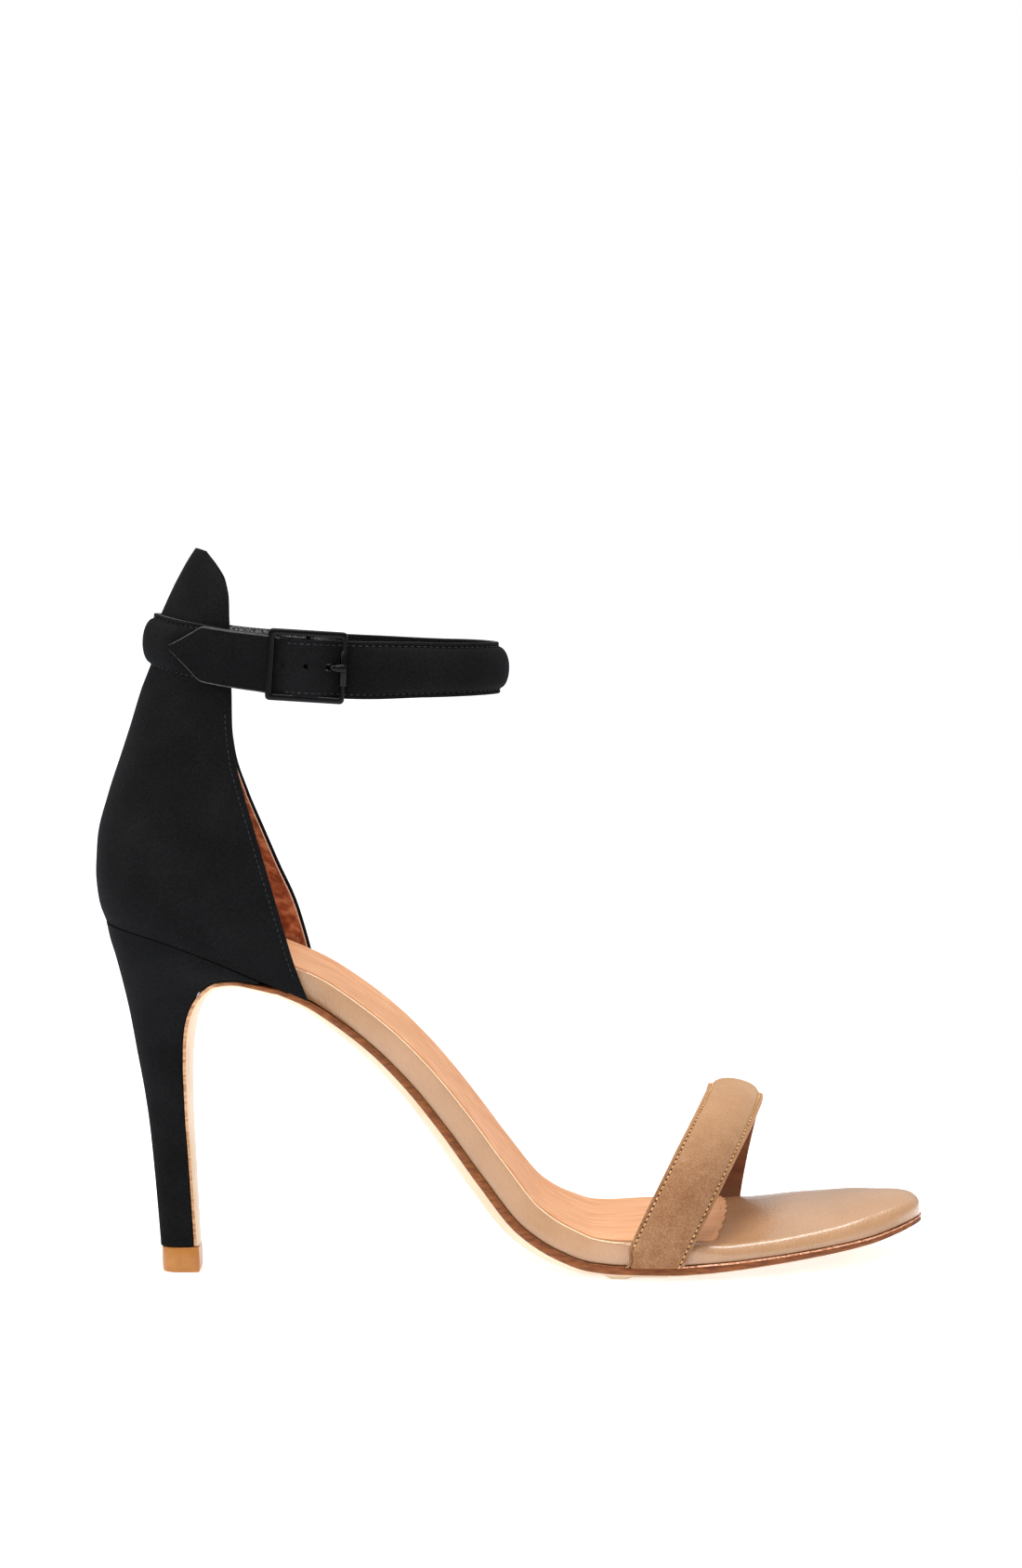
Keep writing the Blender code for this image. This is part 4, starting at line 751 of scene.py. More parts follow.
# the ankle strap's ring and the closed back that runs up inside it
ring = {
    "x": -48.6, "y": -1.0, "halfLength": 45.1, "halfWidth": 21.0, "sunk": 0.8,
    "crossFall": 0.017, "backLean": 0.10,
    "heightRows": ((-97.0, 172.1), (-85.0, 169.0), (-72.0, 166.4), (-53.0, 164.3),
                   (-35.0, 162.9), (-16.0, 161.7), (2.0, 161.3)),
}
ringHeight = tableCurves(("x", "z"), ring["heightRows"])["z"]
closedBack = {
    "wall": 1.25, "lining": 0.5, "liningShort": 0.7, "seatBlend": 25.0, "crossingDepth": 21.0,
    "stitchIn": 1.8, "stitchTop": 153.0, "levels": (48, 22), "places": 26, "uneven": 0.08,
    "columns": ("backX", "backZ", "nearX", "nearZ", "farX", "farZ", "ankle", "narrow"),
    "rows": (
        (-110.0, 96.4, -54.8, 75.4, -54.8, 75.4, 0.00, 1.00),
        (-111.7, 101.5, -57.8, 84.0, -56.6, 84.6, -0.05, 1.00),
        (-112.3, 108.4, -61.0, 96.0, -59.8, 97.0, -0.03, 1.00),
        (-111.6, 118.5, -64.3, 108.5, -64.1, 107.5, 0.10, 1.00),
        (-109.0, 128.4, -67.2, 119.3, -68.2, 118.0, 0.26, 1.00),
        (-105.4, 138.4, -70.0, 129.5, -72.0, 128.0, 0.46, 1.00),
        (-101.4, 149.5, -72.4, 140.5, -75.2, 139.0, 0.70, 1.00),
        (-98.6, 158.0, -73.1, 150.5, -76.2, 149.5, 0.88, 1.00),
        (-96.6, 162.5, -73.1, 157.5, -76.4, 156.5, 0.97, 1.00),
        (-94.9, 167.0, -73.1, 163.5, -76.4, 162.5, 1.00, 1.00),
        (-94.0, 174.0, -73.1, 170.0, -76.2, 169.5, 1.00, 1.00),
        (-91.8, 179.5, -73.1, 176.0, -75.8, 176.0, 1.00, 0.97),
        (-89.4, 184.4, -73.3, 181.2, -75.6, 181.4, 1.00, 0.90),
        (-86.8, 188.9, -74.2, 186.4, -76.2, 186.6, 1.00, 0.76),
        (-84.6, 192.6, -76.2, 190.4, -77.8, 190.5, 1.00, 0.57),
        (-82.8, 195.2, -79.0, 193.9, -79.8, 194.0, 1.00, 0.31)),
}
backKeys = runLengths([row[:2] for row in closedBack["rows"]])
backAt = tableCurves(closedBack["columns"], closedBack["rows"], backKeys)


def ringArc(u, depth):  # half width of the ring, u of the way over a depth from its back
    ratio = depth / ring["halfLength"]
    return math.sqrt(2 * u * ratio - (u * ratio) ** 2) / math.sqrt(2 * ratio - ratio ** 2)


def backPoint(level, side, p):  # side -1 outer or 1 inner, p from the back, 0, to the front, 1
    edge = "near" if side < 0 else "far"
    first = closedBack["rows"][0]
    backX, backZ = backAt["backX"](level), backAt["backZ"](level)
    frontX, frontZ = backAt[edge + "X"](level), backAt[edge + "Z"](level)
    u = p ** 2
    x, z = backX + (frontX - backX) * u, backZ + (frontZ - backZ) * u
    firstX, firstZ = first[2:4] if side < 0 else first[4:6]
    seatX = first[0] + (firstX - first[0]) * u
    line = first[1] + (firstZ - first[1]) * u
    settle = max(0.0, 1.0 - level / closedBack["seatBlend"]) ** 2
    z += settle * (soleAt["z"](seatX) + gap / 2 - line)
    seatY = outline(seatX, 0.0)[0 if side < 0 else 1]
    reach = ring["halfWidth"] + ring["sunk"]
    ratio = (closedBack["crossingDepth"] + ring["sunk"]) / (ring["halfLength"] + ring["sunk"])
    crossingY = reach * math.sqrt(2 * ratio - ratio ** 2)
    ankleY = side * crossingY * ringArc(u, closedBack["crossingDepth"])
    ankle, narrow = backAt["ankle"](level), backAt["narrow"](level)
    y = (1.0 - ankle) * (seatY - sole["seatAxis"]) + ankle * ankleY
    return x, sole["seatAxis"] + y * narrow, z


def backGrid():
    below, above = closedBack["levels"]
    levels = np.concatenate((np.linspace(0.0, backKeys[-5], below),
                             np.linspace(backKeys[-5], backKeys[-1], above)[1:]))
    places = np.linspace(0.0, 1.0, closedBack["places"])
    grid = []
    for level in levels:
        row = [backPoint(level, -1, p) for p in places[::-1]]
        row += [backPoint(level, 1, p) for p in places[1:]]
        grid.append(row)
    outer = np.array(grid)
    normal = unit(np.cross(np.gradient(outer, axis=1), np.gradient(outer, axis=0)))
    if normal[8, len(places) - 1, 0] > 0:  # low down at the back it has to face backwards
        normal = -normal
    return outer, normal


def shellRings(outer, normal, start, thickness, inset):
    # closed rings of a wall between two depths, its free edges rounded over
    rings = []
    along = unit(np.gradient(outer, axis=1))
    for r in range(outer.shape[0]):
        near, far = along[r, 0], along[r, -1]
        face = outer[r] - normal[r] * start
        back = outer[r] - normal[r] * (start + thickness)
        for wall in (face, back):
            wall[0] += near * (inset + thickness * 0.35)
            wall[-1] -= far * (inset + thickness * 0.35)
        tips = []
        for c, run in ((-1, far), (0, -near)):
            mid = outer[r, c] - normal[r, c] * (start + thickness / 2) - run * inset
            tips.append([mid + normal[r, c] * thickness * 0.33 - run * thickness * 0.06,
                         mid, mid - normal[r, c] * thickness * 0.33 - run * thickness * 0.06])
        rings.append(list(face) + tips[0] + list(back[::-1]) + tips[1][::-1])
    return rings


def roundTop(rings, count, thickness):  # closes the top of a wall with a soft edge
    top, below = np.array(rings[-1]), np.array(rings[-2])
    rise = unit(top - below).mean(axis=0)
    face, back = top[:count], top[count + 3:2 * count + 3][::-1]
    middle = (face + back) / 2
    for lift, keep in ((0.3, 0.8), (0.48, 0.4)):
        newFace = middle + (face - middle) * keep + rise * thickness * lift
        newBack = middle + (back - middle) * keep + rise * thickness * lift
        far = (newFace[-1] + newBack[-1]) / 2
        near = (newFace[0] + newBack[0]) / 2
        rings.append(list(newFace) + [far] * 3 + list(newBack[::-1]) + [near] * 3)
    return rings


def buildClosedBack():
    outer, normal = backGrid()
    count = outer.shape[1]
    uneven = ripple(outer[:, :, 2] * 0.5, outer[:, :, 0] * 0.5, 3.0)[:, :, None]
    outer = outer + normal * uneven * closedBack["uneven"]
    rings = roundTop(shellRings(outer, normal, 0.0, closedBack["wall"], 0.0), count,
                     closedBack["wall"])
    rings[0] = [(x, y, soleAt["z"](x) + gap / 2) for x, y, z in rings[0]]
    piece = loftPiece("closedBackSuede", rings, [blackSuede], ["upper"])
    keep = outer.shape[0] - 2
    rings = shellRings(outer[1:keep], normal[1:keep], closedBack["wall"] - 0.02,
                       closedBack["lining"], closedBack["liningShort"])
    face, tip = [0] * (count - 1), [1] * 4  # rust on both faces, pale where it is cut
    slots = face + tip + face + tip
    loftPiece("closedBackLining", rings, [rustLining, paleCutEdge], (), slots, 1)
    for name, flip in (("nearStitches", 1), ("farStitches", -1)):
        line, ups = [], []
        for r in range(2, outer.shape[0] - 3):
            row = outer[r][::flip]
            if row[0][2] > closedBack["stitchTop"]:
                break
            lengths = runLengths(row)
            where = [np.interp(closedBack["stitchIn"], lengths, row[:, k]) for k in range(3)]
            line.append(np.array(where) + normal[r][::flip][2] * 0.02)
            ups.append(normal[r][::flip][2])
        stitchRow("closedBack_" + name, line, ups,
                  {"pitch": 1.6, "length": 1.1, "radius": 0.17, "sink": 0.12}, blackThread)
    return piece


print("closed back:", buildClosedBack().name)


# straps: flat flanges on both sides of a round roll, over a flat lining
strap = {
    "rollHalfWidth": 6.3, "rollShare": 0.83, "roll": 2.6, "soft": 0.35, "stitchIn": 1.15,
    "crease": 0.3, "uneven": 0.05, "stitchedFrom": 2.0,
    "slots": [1] * 8 + [2, 2] + [0] * 26 + [2, 1],  # lining, cut edge, suede, cut edge, lining
    "bodyAngles": ((14.0, 64.0, 2.5), (64.0, 335.0, 3.0), (335.0, 401.2, 1.2)),
    "tailAngles": (401.4, 404.0, 417.6), "stitched": (30.0, 372.0),
    "leanFrom": -70.0, "leanOver": 24.0, "leanTo": 360.0, "slantFrom": 394.0, "slantOver": 10.0,
    "ankleColumns": ("angle", "off", "edge", "roll", "halfWidth"),
    "windowDrop": ((325.0, 0.0), (352.0, 0.7), (372.0, 0.75), (381.0, 0.2), (396.0, 0.0)),
    "tailFrom": 374.0,
    "ankleRows": (
        (14.0, 0.45, 0.9, 0.0, 7.5), (22.0, 0.00, 1.3, 0.0, 7.6), (46.0, 0.00, 1.4, 0.15, 7.6),
        (64.0, 0.00, 1.4, 1.0, 7.4), (230.0, 0.00, 1.4, 1.0, 7.3), (270.0, 0.00, 1.4, 1.0, 6.9),
        (310.0, 0.00, 1.4, 1.0, 7.1), (330.0, 0.00, 1.4, 0.9, 7.4), (344.0, 0.30, 1.4, 0.35, 7.6),
        (352.0, 0.60, 1.4, 0.0, 7.6), (359.0, 2.30, 1.3, 0.0, 7.6), (365.0, 3.60, 1.3, 0.0, 7.6),
        (370.0, 3.10, 1.3, 0.0, 7.6), (376.0, 2.00, 1.3, 0.0, 7.6), (381.0, 1.85, 1.3, 0.0, 7.6),
        (392.0, 1.85, 1.3, 0.0, 7.5), (401.3, 2.15, 1.3, 0.0, 7.4), (404.0, 2.30, 1.3, 0.0, 7.3),
        (408.8, 2.90, 1.3, 0.0, 5.0), (413.2, 3.50, 1.3, 0.0, 2.7), (417.6, 4.20, 1.3, 0.0, 0.5)),
    "tailSlant": 0.24,
}
strapAt = tableCurves(strap["ankleColumns"], strap["ankleRows"])
dropAt = tableCurves(("angle", "drop"), strap["windowDrop"])["drop"]


def strapSection(halfWidth, edge, roll, seed, along):  # pairs of across and out
    soft = min(strap["soft"], 0.3 * halfWidth)
    curve = min(strap["rollHalfWidth"], strap["rollShare"] * halfWidth)
    stitch = max(halfWidth - strap["stitchIn"] + 0.1, curve * 0.9)
    crease = strap["crease"] * min(1.0, roll + 0.35)
    section = [(t * (halfWidth - soft * 0.4), 0.0) for t in np.linspace(-1.0, 1.0, 9)]
    section += [(halfWidth, soft * 0.4), (halfWidth, edge - soft),
                (halfWidth - soft * 0.3, edge - soft * 0.3), (halfWidth - soft, edge)]
    if halfWidth > strap["stitchedFrom"]:
        section += [(stitch + 0.3, edge), (stitch, edge - crease),
                    (stitch - 0.25, edge - crease * 0.5)]
    else:
        section += [(halfWidth * part, edge) for part in (0.8, 0.7, 0.6)]
    flange = section[9:]
    top = min(curve, section[-1][0] - 0.05)
    steps = (1.0, 0.97, 0.9, 0.78, 0.62, 0.42, 0.2)
    for t in steps + (0.0,) + tuple(-step for step in steps[::-1]):
        bulge = roll * (1.0 - abs(t) ** 2.2) ** 0.55
        uneven = strap["uneven"] * ripple(along * 0.35, t * 3.0, seed) * (0.4 + roll)
        section.append((t * top, edge + bulge + uneven * (1.0 - abs(t))))
    return section + [(-y, n) for y, n in reversed(flange)]


def sweepStrap(path, across, sizes, seed):
    path = np.asarray(path, float)
    run = unit(np.gradient(path, axis=0))
    lengths = runLengths(path)
    wide = np.asarray(across, float)
    wide = unit(wide - run * np.sum(wide * run, axis=1)[:, None])
    out = np.cross(wide, run)
    rings = [[point + wide[i] * a + out[i] * b
              for a, b in strapSection(*sizes[i], seed, lengths[i])]
             for i, point in enumerate(path)]
    return np.array(rings), wide, out


def strapStitchLine(path, wide, out, sizes, side, chosen):
    line, ups = [], []
    for i in chosen:
        halfWidth, edge = sizes[i][:2]
        across = side * (halfWidth - strap["stitchIn"])
        line.append(path[i] + wide[i] * across + out[i] * (edge - 0.02))
        ups.append(out[i])
    return line, ups


def ringPoint(angle, off):
    a = math.radians(angle)
    x = ring["x"] - ring["halfLength"] * math.sin(a)
    y = ring["y"] - ring["halfWidth"] * math.cos(a)
    normal = unit((-math.sin(a) / ring["halfLength"], -math.cos(a) / ring["halfWidth"]))
    x, y = x + normal[0] * off, y + normal[1] * off
    fall = ring["crossFall"] * (y - ring["y"] + ring["halfWidth"])
    return x, y, ringHeight(x) - fall


buckle = {
    "x": -52.5, "y": -25.6, "z": 164.2, "tilt": math.radians(5.2), "length": 20.9, "height": 19.0,
    "side": 1.8, "frontSide": 1.2, "rail": 1.75, "depth": 1.6, "barBack": 2.2, "barRadius": 0.75,
    "loopThickness": 0.8, "loopHalfWidth": 7.3, "loopClearance": 0.25, "loopTail": 5.0,
    "prongRadius": 0.45, "prongRing": 1.45, "holeSpacing": 6.3, "holeRadius": 0.62,
    "firstHole": -6.4, "holeCount": 5, "holeY": -3.0, "holeDepth": 7.0, "corner": 1.2,
    "windowCorner": 0.6, "sleeveReach": 4.7, "sleeveRadius": 1.15,
    "slots": ((-0.45, 2.95, (5.7, 5.2, 2.2)), (6.3, -1.0, (2.4, 6.0, 2.1))),
}


def buckleSpot(x, y, z):  # from the buckle's own axes to the shoe's, in mm
    c, s = math.cos(buckle["tilt"]), math.sin(buckle["tilt"])
    return buckle["x"] + x * c + z * s, buckle["y"] + y, buckle["z"] - x * s + z * c


def cutHoles(piece):  # punched holes, and the slots for the prong's eye and shank
    shape = bmesh.new()

    def spot(x, y):
        return Matrix.Translation(((np.array(buckleSpot(x, y, 0.0)) - shoeMiddle) * mm).tolist())

    radius = buckle["holeRadius"] * mm
    for k in range(buckle["holeCount"]):
        place = spot(buckle["firstHole"] + buckle["holeSpacing"] * k, buckle["holeY"])
        bmesh.ops.create_cone(shape, cap_ends=True, segments=20, radius1=radius, radius2=radius,
                              depth=buckle["holeDepth"] * mm,
                              matrix=place @ Matrix.Rotation(math.radians(90), 4, "X"))
    for x, y, sizes in buckle["slots"]:
        turned = spot(x, y) @ Matrix.Rotation(buckle["tilt"], 4, "Y")
        scale = Matrix.Diagonal([size * mm for size in sizes] + [1.0])
        bmesh.ops.create_cube(shape, size=1.0, matrix=turned @ scale)
    mesh = bpy.data.meshes.new("strapPunch")
    shape.to_mesh(mesh)
    shape.free()
    punch = bpy.data.objects.new("strapPunch", mesh)
    bpy.context.scene.collection.objects.link(punch)
    change = piece.modifiers.new("punch", "BOOLEAN")
    change.operation, change.solver, change.object = "DIFFERENCE", "EXACT", punch
    change.use_self = True
    bpy.context.view_layer.update()
    seen = piece.evaluated_get(bpy.context.evaluated_depsgraph_get())
    cut = bpy.data.meshes.new_from_object(seen)
    piece.modifiers.clear()
    piece.data = cut
    bpy.data.objects.remove(punch, do_unlink=True)


def loopPath():  # the strap's turn round the buckle's bar, behind and then in front
    barY, slope = buckle["y"] + buckle["barBack"], math.tan(buckle["tilt"])
    inner = buckle["barRadius"] + buckle["loopClearance"]
    offsets = [(-back, inner, 0.0) for back in (buckle["loopTail"], 3.6, 2.4, 1.2)]
    for degrees in range(-90, 91, 15):
        a = math.radians(degrees)
        offsets.append((inner * math.cos(a), -inner * math.sin(a), 0.0))
    offsets += [(-back, down - inner, down)
                for back, down in ((1.2, 0.08), (2.4, 0.25), (3.6, 0.58), (4.8, 0.95))]
    path = [(buckle["x"] + x, barY + y, buckle["z"] - x * slope) for x, y, down in offsets]
    sizes = [(buckle["loopHalfWidth"], buckle["loopThickness"] + 0.1 * down, 0.0)
             for x, y, down in offsets]
    return path, sizes, [(slope, 0.0, 1.0)] * len(path)


def buildAnkleStrap():
    path, sizes, across = loopPath()
    loopCount = len(path)
    start, corner, end = strap["tailAngles"]
    angles = np.concatenate([np.arange(*run) for run in strap["bodyAngles"]]
                            + [np.linspace(start, corner, 3)[:-1], np.linspace(corner, end, 20)])
    for angle in angles:
        x, y, z = ringPoint(angle, strapAt["off"](angle))
        path.append((x, y, z - dropAt(angle)))
        sizes.append((strapAt["halfWidth"](angle), strapAt["edge"](angle),
                      strap["roll"] * strapAt["roll"](angle)))
        lean = ring["backLean"] * min(1.0, max(0.0, (strap["leanFrom"] - x) / strap["leanOver"]))
        across.append((lean if angle < strap["leanTo"] else 0.0, 0.0, 1.0))
    rings, wide, out = sweepStrap(path, across, sizes, 5.0)
    path = np.array(path)
    for r, angle in enumerate(angles, loopCount):  # the tail's lower corner is cut further in
        slant = min(1.0, max(0.0, (angle - strap["slantFrom"]) / strap["slantOver"]))
        below = np.maximum(0.0, path[r, 2] - rings[r, :, 2])
        rings[r] += strap["tailSlant"] * slant * below[:, None] * unit(path[r - 1] - path[r])
    points, faces, slotOfFace = lofted(rings, strap["slots"], ladder=False, capSlot=2)
    count = len(strap["slots"])
    for r in range(loopCount + int(np.searchsorted(angles, strap["tailFrom"])), len(rings) - 1):
        for column in (10, 11, count - 4, count - 3):  # the paler raw corner of the tail
            slotOfFace[r * count + column] = 2
    piece = makePiece("ankleStrapSuede", points, faces, [blackSuede, blackLining, blackCutEdge],
                      slotOfFace)
    cutHoles(piece)
    finishPiece(piece, ["upper"])
    first, last = strap["stitched"]
    chosen = [loopCount + i for i, angle in enumerate(angles) if first < angle < last]
    for name, side in (("upperStitches", 1), ("lowerStitches", -1)):
        line, ups = strapStitchLine(path, wide, out, sizes, side, chosen)
        stitchRow("ankleStrap_" + name, line, ups,
                  {"pitch": 1.75, "length": 1.25, "radius": 0.17, "sink": 0.12}, blackThread)
    return piece


print("ankle strap:", buildAnkleStrap().name)


# the padded toe strap
toeStrap = {
    "halfWidth": 7.6, "edge": 1.4, "steps": 120, "stitchedAbove": 2.5,
    "tucks": ((0.0, 7.5, 0.9), (5.2, 2.0, 1.2)),  # start, over and depth, from each end
    "columns": ("x", "y", "z", "lean", "turn", "roll"),
    "rows": (
        (31.6, -38.0, -0.5, 27.0, -0.14, 0.35), (34.4, -38.5, 5.0, 27.0, -0.14, 0.45),
        (38.0, -39.2, 12.5, 27.0, -0.11, 0.85), (43.2, -38.0, 22.5, 27.0, -0.06, 1.0),
        (48.9, -32.0, 32.3, 26.0, 0.0, 1.0), (53.8, -21.0, 39.2, 21.0, 0.0, 1.0),
        (57.0, -8.0, 42.8, 16.0, 0.0, 1.0), (58.2, 6.0, 43.0, 13.0, 0.0, 1.0),
        (57.9, 18.5, 39.4, 12.0, 0.0, 1.0), (56.5, 29.0, 31.6, 12.0, 0.0, 1.0),
        (54.6, 36.0, 22.0, 12.0, 0.0, 1.0), (52.8, 38.4, 12.5, 12.0, 0.0, 0.85),
        (51.6, 37.9, 5.0, 12.0, 0.0, 0.45), (50.8, 37.6, -0.5, 12.0, 0.0, 0.35)),
}


def buildToeStrap():
    keys = runLengths([row[:3] for row in toeStrap["rows"]])
    at = tableCurves(toeStrap["columns"], toeStrap["rows"], keys)
    path, across, sizes = [], [], []
    for s in np.linspace(0.0, keys[-1], toeStrap["steps"]):
        path.append([at[axis](s) for axis in ("x", "y", "z")])
        lean = math.radians(at["lean"](s))
        across.append((math.cos(lean), at["turn"](s), -math.sin(lean)))
        end, halfWidth = min(s, keys[-1] - s), toeStrap["halfWidth"]
        for start, over, tuck in toeStrap["tucks"]:  # drawn in where it goes into the sole
            halfWidth -= tuck * min(max(1.0 - (end - start) / over, 0.0), 1.0) ** 2
        sizes.append((halfWidth, toeStrap["edge"], strap["roll"] * at["roll"](s)))
    rings, wide, out = sweepStrap(path, across, sizes, 2.0)
    rings[:, :, 2] = np.maximum(rings[:, :, 2], soleAt["z"](rings[:, :, 0]) + gap / 2)
    points, faces, slotOfFace = lofted(rings, strap["slots"], ladder=False, capSlot=2)
    piece = makePiece("toeStrapSuede", points, faces, [tanSuede, strapLining, paleCutEdge],
                      slotOfFace)
    finishPiece(piece, ["toe_strap"])
    path = np.array(path)
    above = path[:, 2] - soleAt["z"](path[:, 0])
    chosen = np.flatnonzero(above > toeStrap["stitchedAbove"])
    for name, side in (("frontStitches", 1), ("backStitches", -1)):
        line, ups = strapStitchLine(path, wide, out, sizes, side, chosen)
        needleHoles("toeStrap_" + name + "Holes", line, ups, {"pitch": 1.55, "radius": 0.2},
                    needleHoleShade)
        stitchRow("toeStrap_" + name, line, ups,
                  {"pitch": 1.55, "length": 1.1, "radius": 0.24, "sink": 0.14, "tilt": 0.12},
                  goldThread)
    return piece


print("toe strap:", buildToeStrap().name)


# the buckle: frame, centre bar, the sleeve on its front bar, and the prong
def roundedCorners(length, height, radius, steps=6):
    points = []
    for sx, sz, start in ((1, 1, 0.0), (-1, 1, 90.0), (-1, -1, 180.0), (1, -1, 270.0)):
        for step in np.linspace(0.0, 90.0, steps):
            a = math.radians(start + step)
            points.append((sx * (length / 2 - radius) + radius * math.cos(a),
                           sz * (height / 2 - radius) + radius * math.sin(a)))
    return np.array(points)


def tube(points, radii, level, around=14, toShoe=buckleSpot):  # round bar, never along level
    points = np.asarray(points, float)
    run = unit(np.gradient(points, axis=0))
    level = np.array(level, float)
    side = unit(level - run * np.sum(run * level, axis=1)[:, None])
    other = np.cross(run, side)
    rings = []
    for i, point in enumerate(points):
        wide, deep = radii[i]
        across, down = side[i] * wide, other[i] * deep
        rings.append([toShoe(*(point + across * math.cos(a) + down * math.sin(a)))
                      for a in np.linspace(0, 2 * math.pi, around, endpoint=False)])
    return rings


def buildFrame():
    outer = roundedCorners(buckle["length"], buckle["height"], buckle["corner"])
    inner = roundedCorners(buckle["length"] - buckle["side"] - buckle["frontSide"],
                           buckle["height"] - 2 * buckle["rail"], buckle["windowCorner"])
    inner[:, 0] += (buckle["side"] - buckle["frontSide"]) / 2
    depth = buckle["depth"] / 2
    bevel = ((0.0, 0.45), (0.05, 0.2), (0.16, 0.04), (0.3, 0.0))  # share of the side, drop
    profile = [(t, drop - depth) for t, drop in bevel]
    profile += [(0.7, -depth), (0.84, 0.04 - depth), (0.95, 0.2 - depth), (1.0, 0.45 - depth),
                (1.0, depth - 0.2), (0.9, depth), (0.1, depth), (0.0, depth - 0.2)]
    points = [buckleSpot(x, y, z) for t, y in profile for x, z in outer + (inner - outer) * t]
    count, total = len(outer), len(profile)
    faces = []
    for r in range(total):
        low, high = r * count, ((r + 1) % total) * count
        for i in range(count):
            j = (i + 1) % count
            faces.append((low + i, low + j, high + j, high + i))
    piece = makePiece("buckleFrame", points, faces, [buckleBlack], sharp=50.0)
    return finishPiece(piece, ["buckle"])


def buildCentreBar():  # set back behind the frame, its ends turned forward into the rails
    half = buckle["height"] / 2 - buckle["rail"] / 2
    back, radius = buckle["barBack"], buckle["barRadius"]
    down = [(0.0, 0.0, half), (0.0, back * 0.5, half), (0.0, back, half - 0.4),
            (0.0, back, half - 1.2)]
    route = down + [(0.0, back, 0.0)] + [(x, y, -z) for x, y, z in down[::-1]]
    rings = tube(route, [(radius, radius * 0.9)] * len(route), (1, 0, 0))
    return loftPiece("buckleCentreBar", rings, [buckleBlack], sharp=60.0)


def buildSleeve():  # a rolled tube on the front bar, so that the prong turns freely
    frontX = buckle["length"] / 2 - buckle["frontSide"] / 2
    reach, radius = buckle["sleeveReach"], buckle["sleeveRadius"]
    nudge = 0.0005  # keeps rings that share a height apart
    steps = ((-reach, 0.6), (-reach, radius - 0.15), (-reach + 0.2, radius), (0.0, radius),
             (reach - 0.2, radius), (reach, radius - 0.15), (reach, 0.6))
    rings = tube([(frontX, 0.0, z + nudge * i) for i, (z, r) in enumerate(steps)],
                 [(r * 0.9, r * 0.9) for z, r in steps], (1, 0, 0), around=20)
    return loftPiece("buckleSleeve", rings, [buckleBlack], sharp=40.0)


def buildProng():
    eye, radius = buckle["prongRing"], buckle["prongRadius"]
    route = []
    for degrees in range(150, -91, -15):
        a = math.radians(degrees)
        route.append((-eye * math.cos(a), buckle["barBack"] + eye * math.sin(a)))
    over = -buckle["depth"] / 2 - gap - radius
    tip = buckle["length"] / 2 - buckle["side"] / 2
    route += [(2.0, 1.25), (3.6, 1.7), (5.2, 1.0), (6.4, -0.3), (7.4, over + 0.2),
              (8.2, over), (tip, over), (tip + 0.8, over + 0.05), (tip + 1.0, over + 0.1)]
    radii = [(radius, radius)] * (len(route) - 6)
    radii += [(0.8, radius), (0.95, 0.5), (1.0, 0.5), (1.05, 0.5), (0.95, 0.42), (0.5, 0.2)]
    rings = tube([(x, y, 0.0) for x, y in route], radii, (0, 0, 1))
    return loftPiece("bucklePin", rings, [buckleBlack], ["prong"], sharp=60.0)


# thin beads along the sole's seams: foil round the forefoot; a dark brown line along the waist,
# painted shade in the seam's gap;
# and a pale line along the top of the cover's side, a painted highlight where light catches its
# rounded edge
seamBeads = {
    "featherFoil": {"stations": (107.0, 40.0), "radius": 0.26, "inset": 0.2, "up": 0.0},
    # painted shade: a dark bead in the inked edge's brown stands for the shadow in the waist's seam
    "featherShadeLine": {"stations": (40.0, -60.0), "radius": 0.24, "inset": 0.25, "up": 0.0},
    "coverTopHighlight": {"stations": (27.0, -58.0), "radius": 0.17, "inset": 0.16, "up": 1.0},
}


def beadLine(bead, side):  # side 0 outer or 1 inner
    first, last = bead["stations"]
    tight = np.array((0.0, 0.3, 0.9, 1.8, 3.0, 4.5))  # round the tip of the toe
    xs = np.concatenate((first - tight,
                         np.linspace(first - 6.5, last, int((first - last) / 1.6))))
    path = [(x, soleAt["z"](x)) for x in xs]
    normals = upNormals(path)
    line = []
    for i, x in enumerate(xs):
        back = soleAt["inset"](x) if bead["up"] else 0.0
        y = outline(x, back + bead["inset"])[side]
        n = bead["up"] * (soleAt["rand"](x) - 0.02)
        line.append((x + normals[i][0] * n, y, path[i][1] + normals[i][1] * n))
    return line


def buildBead(name, material, joined=False):
    bead = seamBeads[name]
    near, far = beadLine(bead, 0), beadLine(bead, 1)
    for part, route in (("", near[::-1] + far),) if joined else (("Outer", near), ("Inner", far)):
        rings = tube(route, [(bead["radius"],) * 2] * len(route), (0, 0, 1), around=8,
                     toShoe=lambda x, y, z: (x, y, z))
        loftPiece(name + part, rings, [material], sharp=80.0)


buildBead("featherFoil", copperEdge, joined=True)
# painted shade along the waist's seam
buildBead("featherShadeLine", brownEdge)
# painted highlight along the top of the cover's side
buildBead("coverTopHighlight", paintedEdgeHighlight)
print("buckle:", [piece.name for piece in (buildFrame(), buildCentreBar(), buildSleeve(),
                                           buildProng())])
print("beads:", ", ".join(seamBeads))


# floor, light and camera
studio = {
    "floorHalf": 5.0, "floorGlow": 0.53, "worldLow": 0.32, "worldLight": 0.78, "worldSeen": 1.0,
    "distance": 1250.0, "elevation": 10.5, "yaw": 1.0, "roll": 1.7, "targetZ": 129.5,
    "frameSpan": 421.75, "sensor": 36.0,
    "lights": (  # name, place, what it points at, size, watts
        ("overheadStrip", (0.1, -0.12, 1.3), (0.02, 0.0, 0.05), (1.3, 0.18), 15.0),
        ("leftStrip", (-1.05, -0.12, 0.95), (-0.02, 0.0, 0.05), (0.18, 1.0), 5.0),
        ("frontBank", (-0.5, -1.3, 1.1), (0.0, 0.0, 0.08), (0.9, 0.5), 4.6)),
}


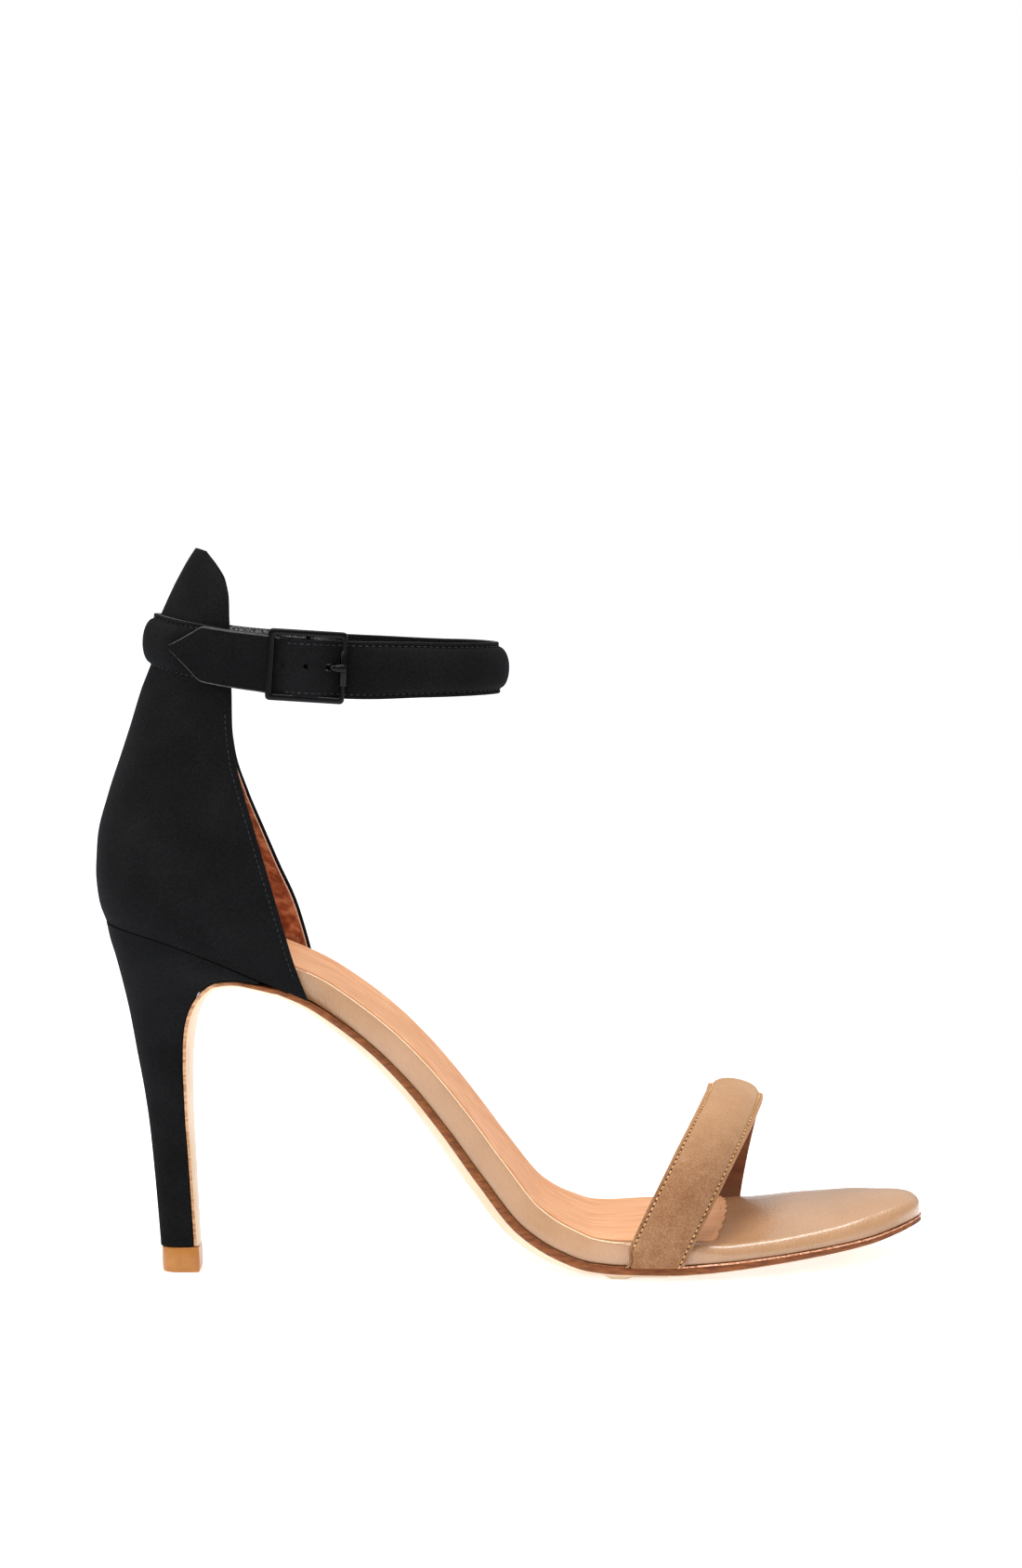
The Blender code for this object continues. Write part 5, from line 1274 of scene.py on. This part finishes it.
# matt white paper, lit from below as on a light table: it stays white and its shadows faint
def buildBackdrop():
    paper = cloudedFinish("lightTablePaper", {
        "Roughness": 0.9, "Specular IOR Level": 0.1, "Emission Color": (1.0, 1.0, 1.0, 1.0),
        "Emission Strength": studio["floorGlow"]},
        400.0, 2.0, ((0.3, "#EAEEF5"), (0.7, "#EDF1F8")))
    half = studio["floorHalf"]
    corners = [(-half, -half, 0), (half, -half, 0), (half, half, 0), (-half, half, 0)]
    mesh = bpy.data.meshes.new("paperFloor")
    mesh.from_pydata(corners, [], [(0, 1, 2, 3)])
    mesh.materials.append(paper)
    floor = bpy.data.objects.new("paperFloor", mesh)
    bpy.context.scene.collection.objects.link(floor)


def areaLight(name, place, target, size, power):
    light = bpy.data.lights.new(name, "AREA")
    light.shape = "RECTANGLE"
    light.size, light.size_y = size
    light.energy = power
    lamp = bpy.data.objects.new(name, light)
    lamp.location = place
    lamp.rotation_euler = (Vector(target) - Vector(place)).to_track_quat("-Z", "Y").to_euler()
    bpy.context.scene.collection.objects.link(lamp)


def lightStudio():
    world = bpy.data.worlds.new("softStudio")
    bpy.context.scene.world = world
    world.use_nodes = True
    tree = world.node_tree
    background = tree.nodes["Background"]
    background.inputs["Color"].default_value = (1.0, 1.0, 1.0, 1.0)
    # seen straight it is plain white; as a light it is soft, and dimmer near the horizon
    lift = addNode(tree, "SeparateXYZ", {},
                   {"Vector": addNode(tree, "TexCoord").outputs["Generated"]})
    dome = addNode(tree, "MapRange", {"From Max": 0.6, "To Min": studio["worldLow"],
                                      "To Max": studio["worldLight"]},
                   {"Value": lift.outputs["Z"]})
    strength = addNode(tree, "MapRange", {"To Max": studio["worldSeen"]},
                       {"Value": addNode(tree, "LightPath").outputs["Is Camera Ray"],
                        "To Min": dome})
    tree.links.new(strength.outputs["Result"], background.inputs["Strength"])
    for light in studio["lights"]:
        areaLight(*light)
    bpy.context.scene.view_settings.view_transform = "Standard"


def placeCamera():
    elevation, yaw = math.radians(studio["elevation"]), math.radians(studio["yaw"])
    away = studio["distance"]
    place = Vector((away * math.sin(yaw), -away * math.cos(yaw), away * math.tan(elevation)))
    target = Vector((0.0, 0.0, studio["targetZ"]))
    lens = bpy.data.cameras.new("productCamera")
    lens.sensor_width = studio["sensor"]
    lens.lens = studio["sensor"] * (target - place).length / studio["frameSpan"]
    lens.clip_end = 50.0
    camera = bpy.data.objects.new("productCamera", lens)
    bpy.context.scene.collection.objects.link(camera)
    turn = (target - place).to_track_quat("-Z", "Y").to_matrix().to_4x4()
    spot = (place - Vector(shoeMiddle)) * mm
    camera.matrix_world = (Matrix.Translation(spot) @ turn
                           @ Matrix.Rotation(math.radians(-studio["roll"]), 4, "Z"))
    bpy.context.scene.camera = camera


buildBackdrop()
lightStudio()
placeCamera()
print("studio ready")
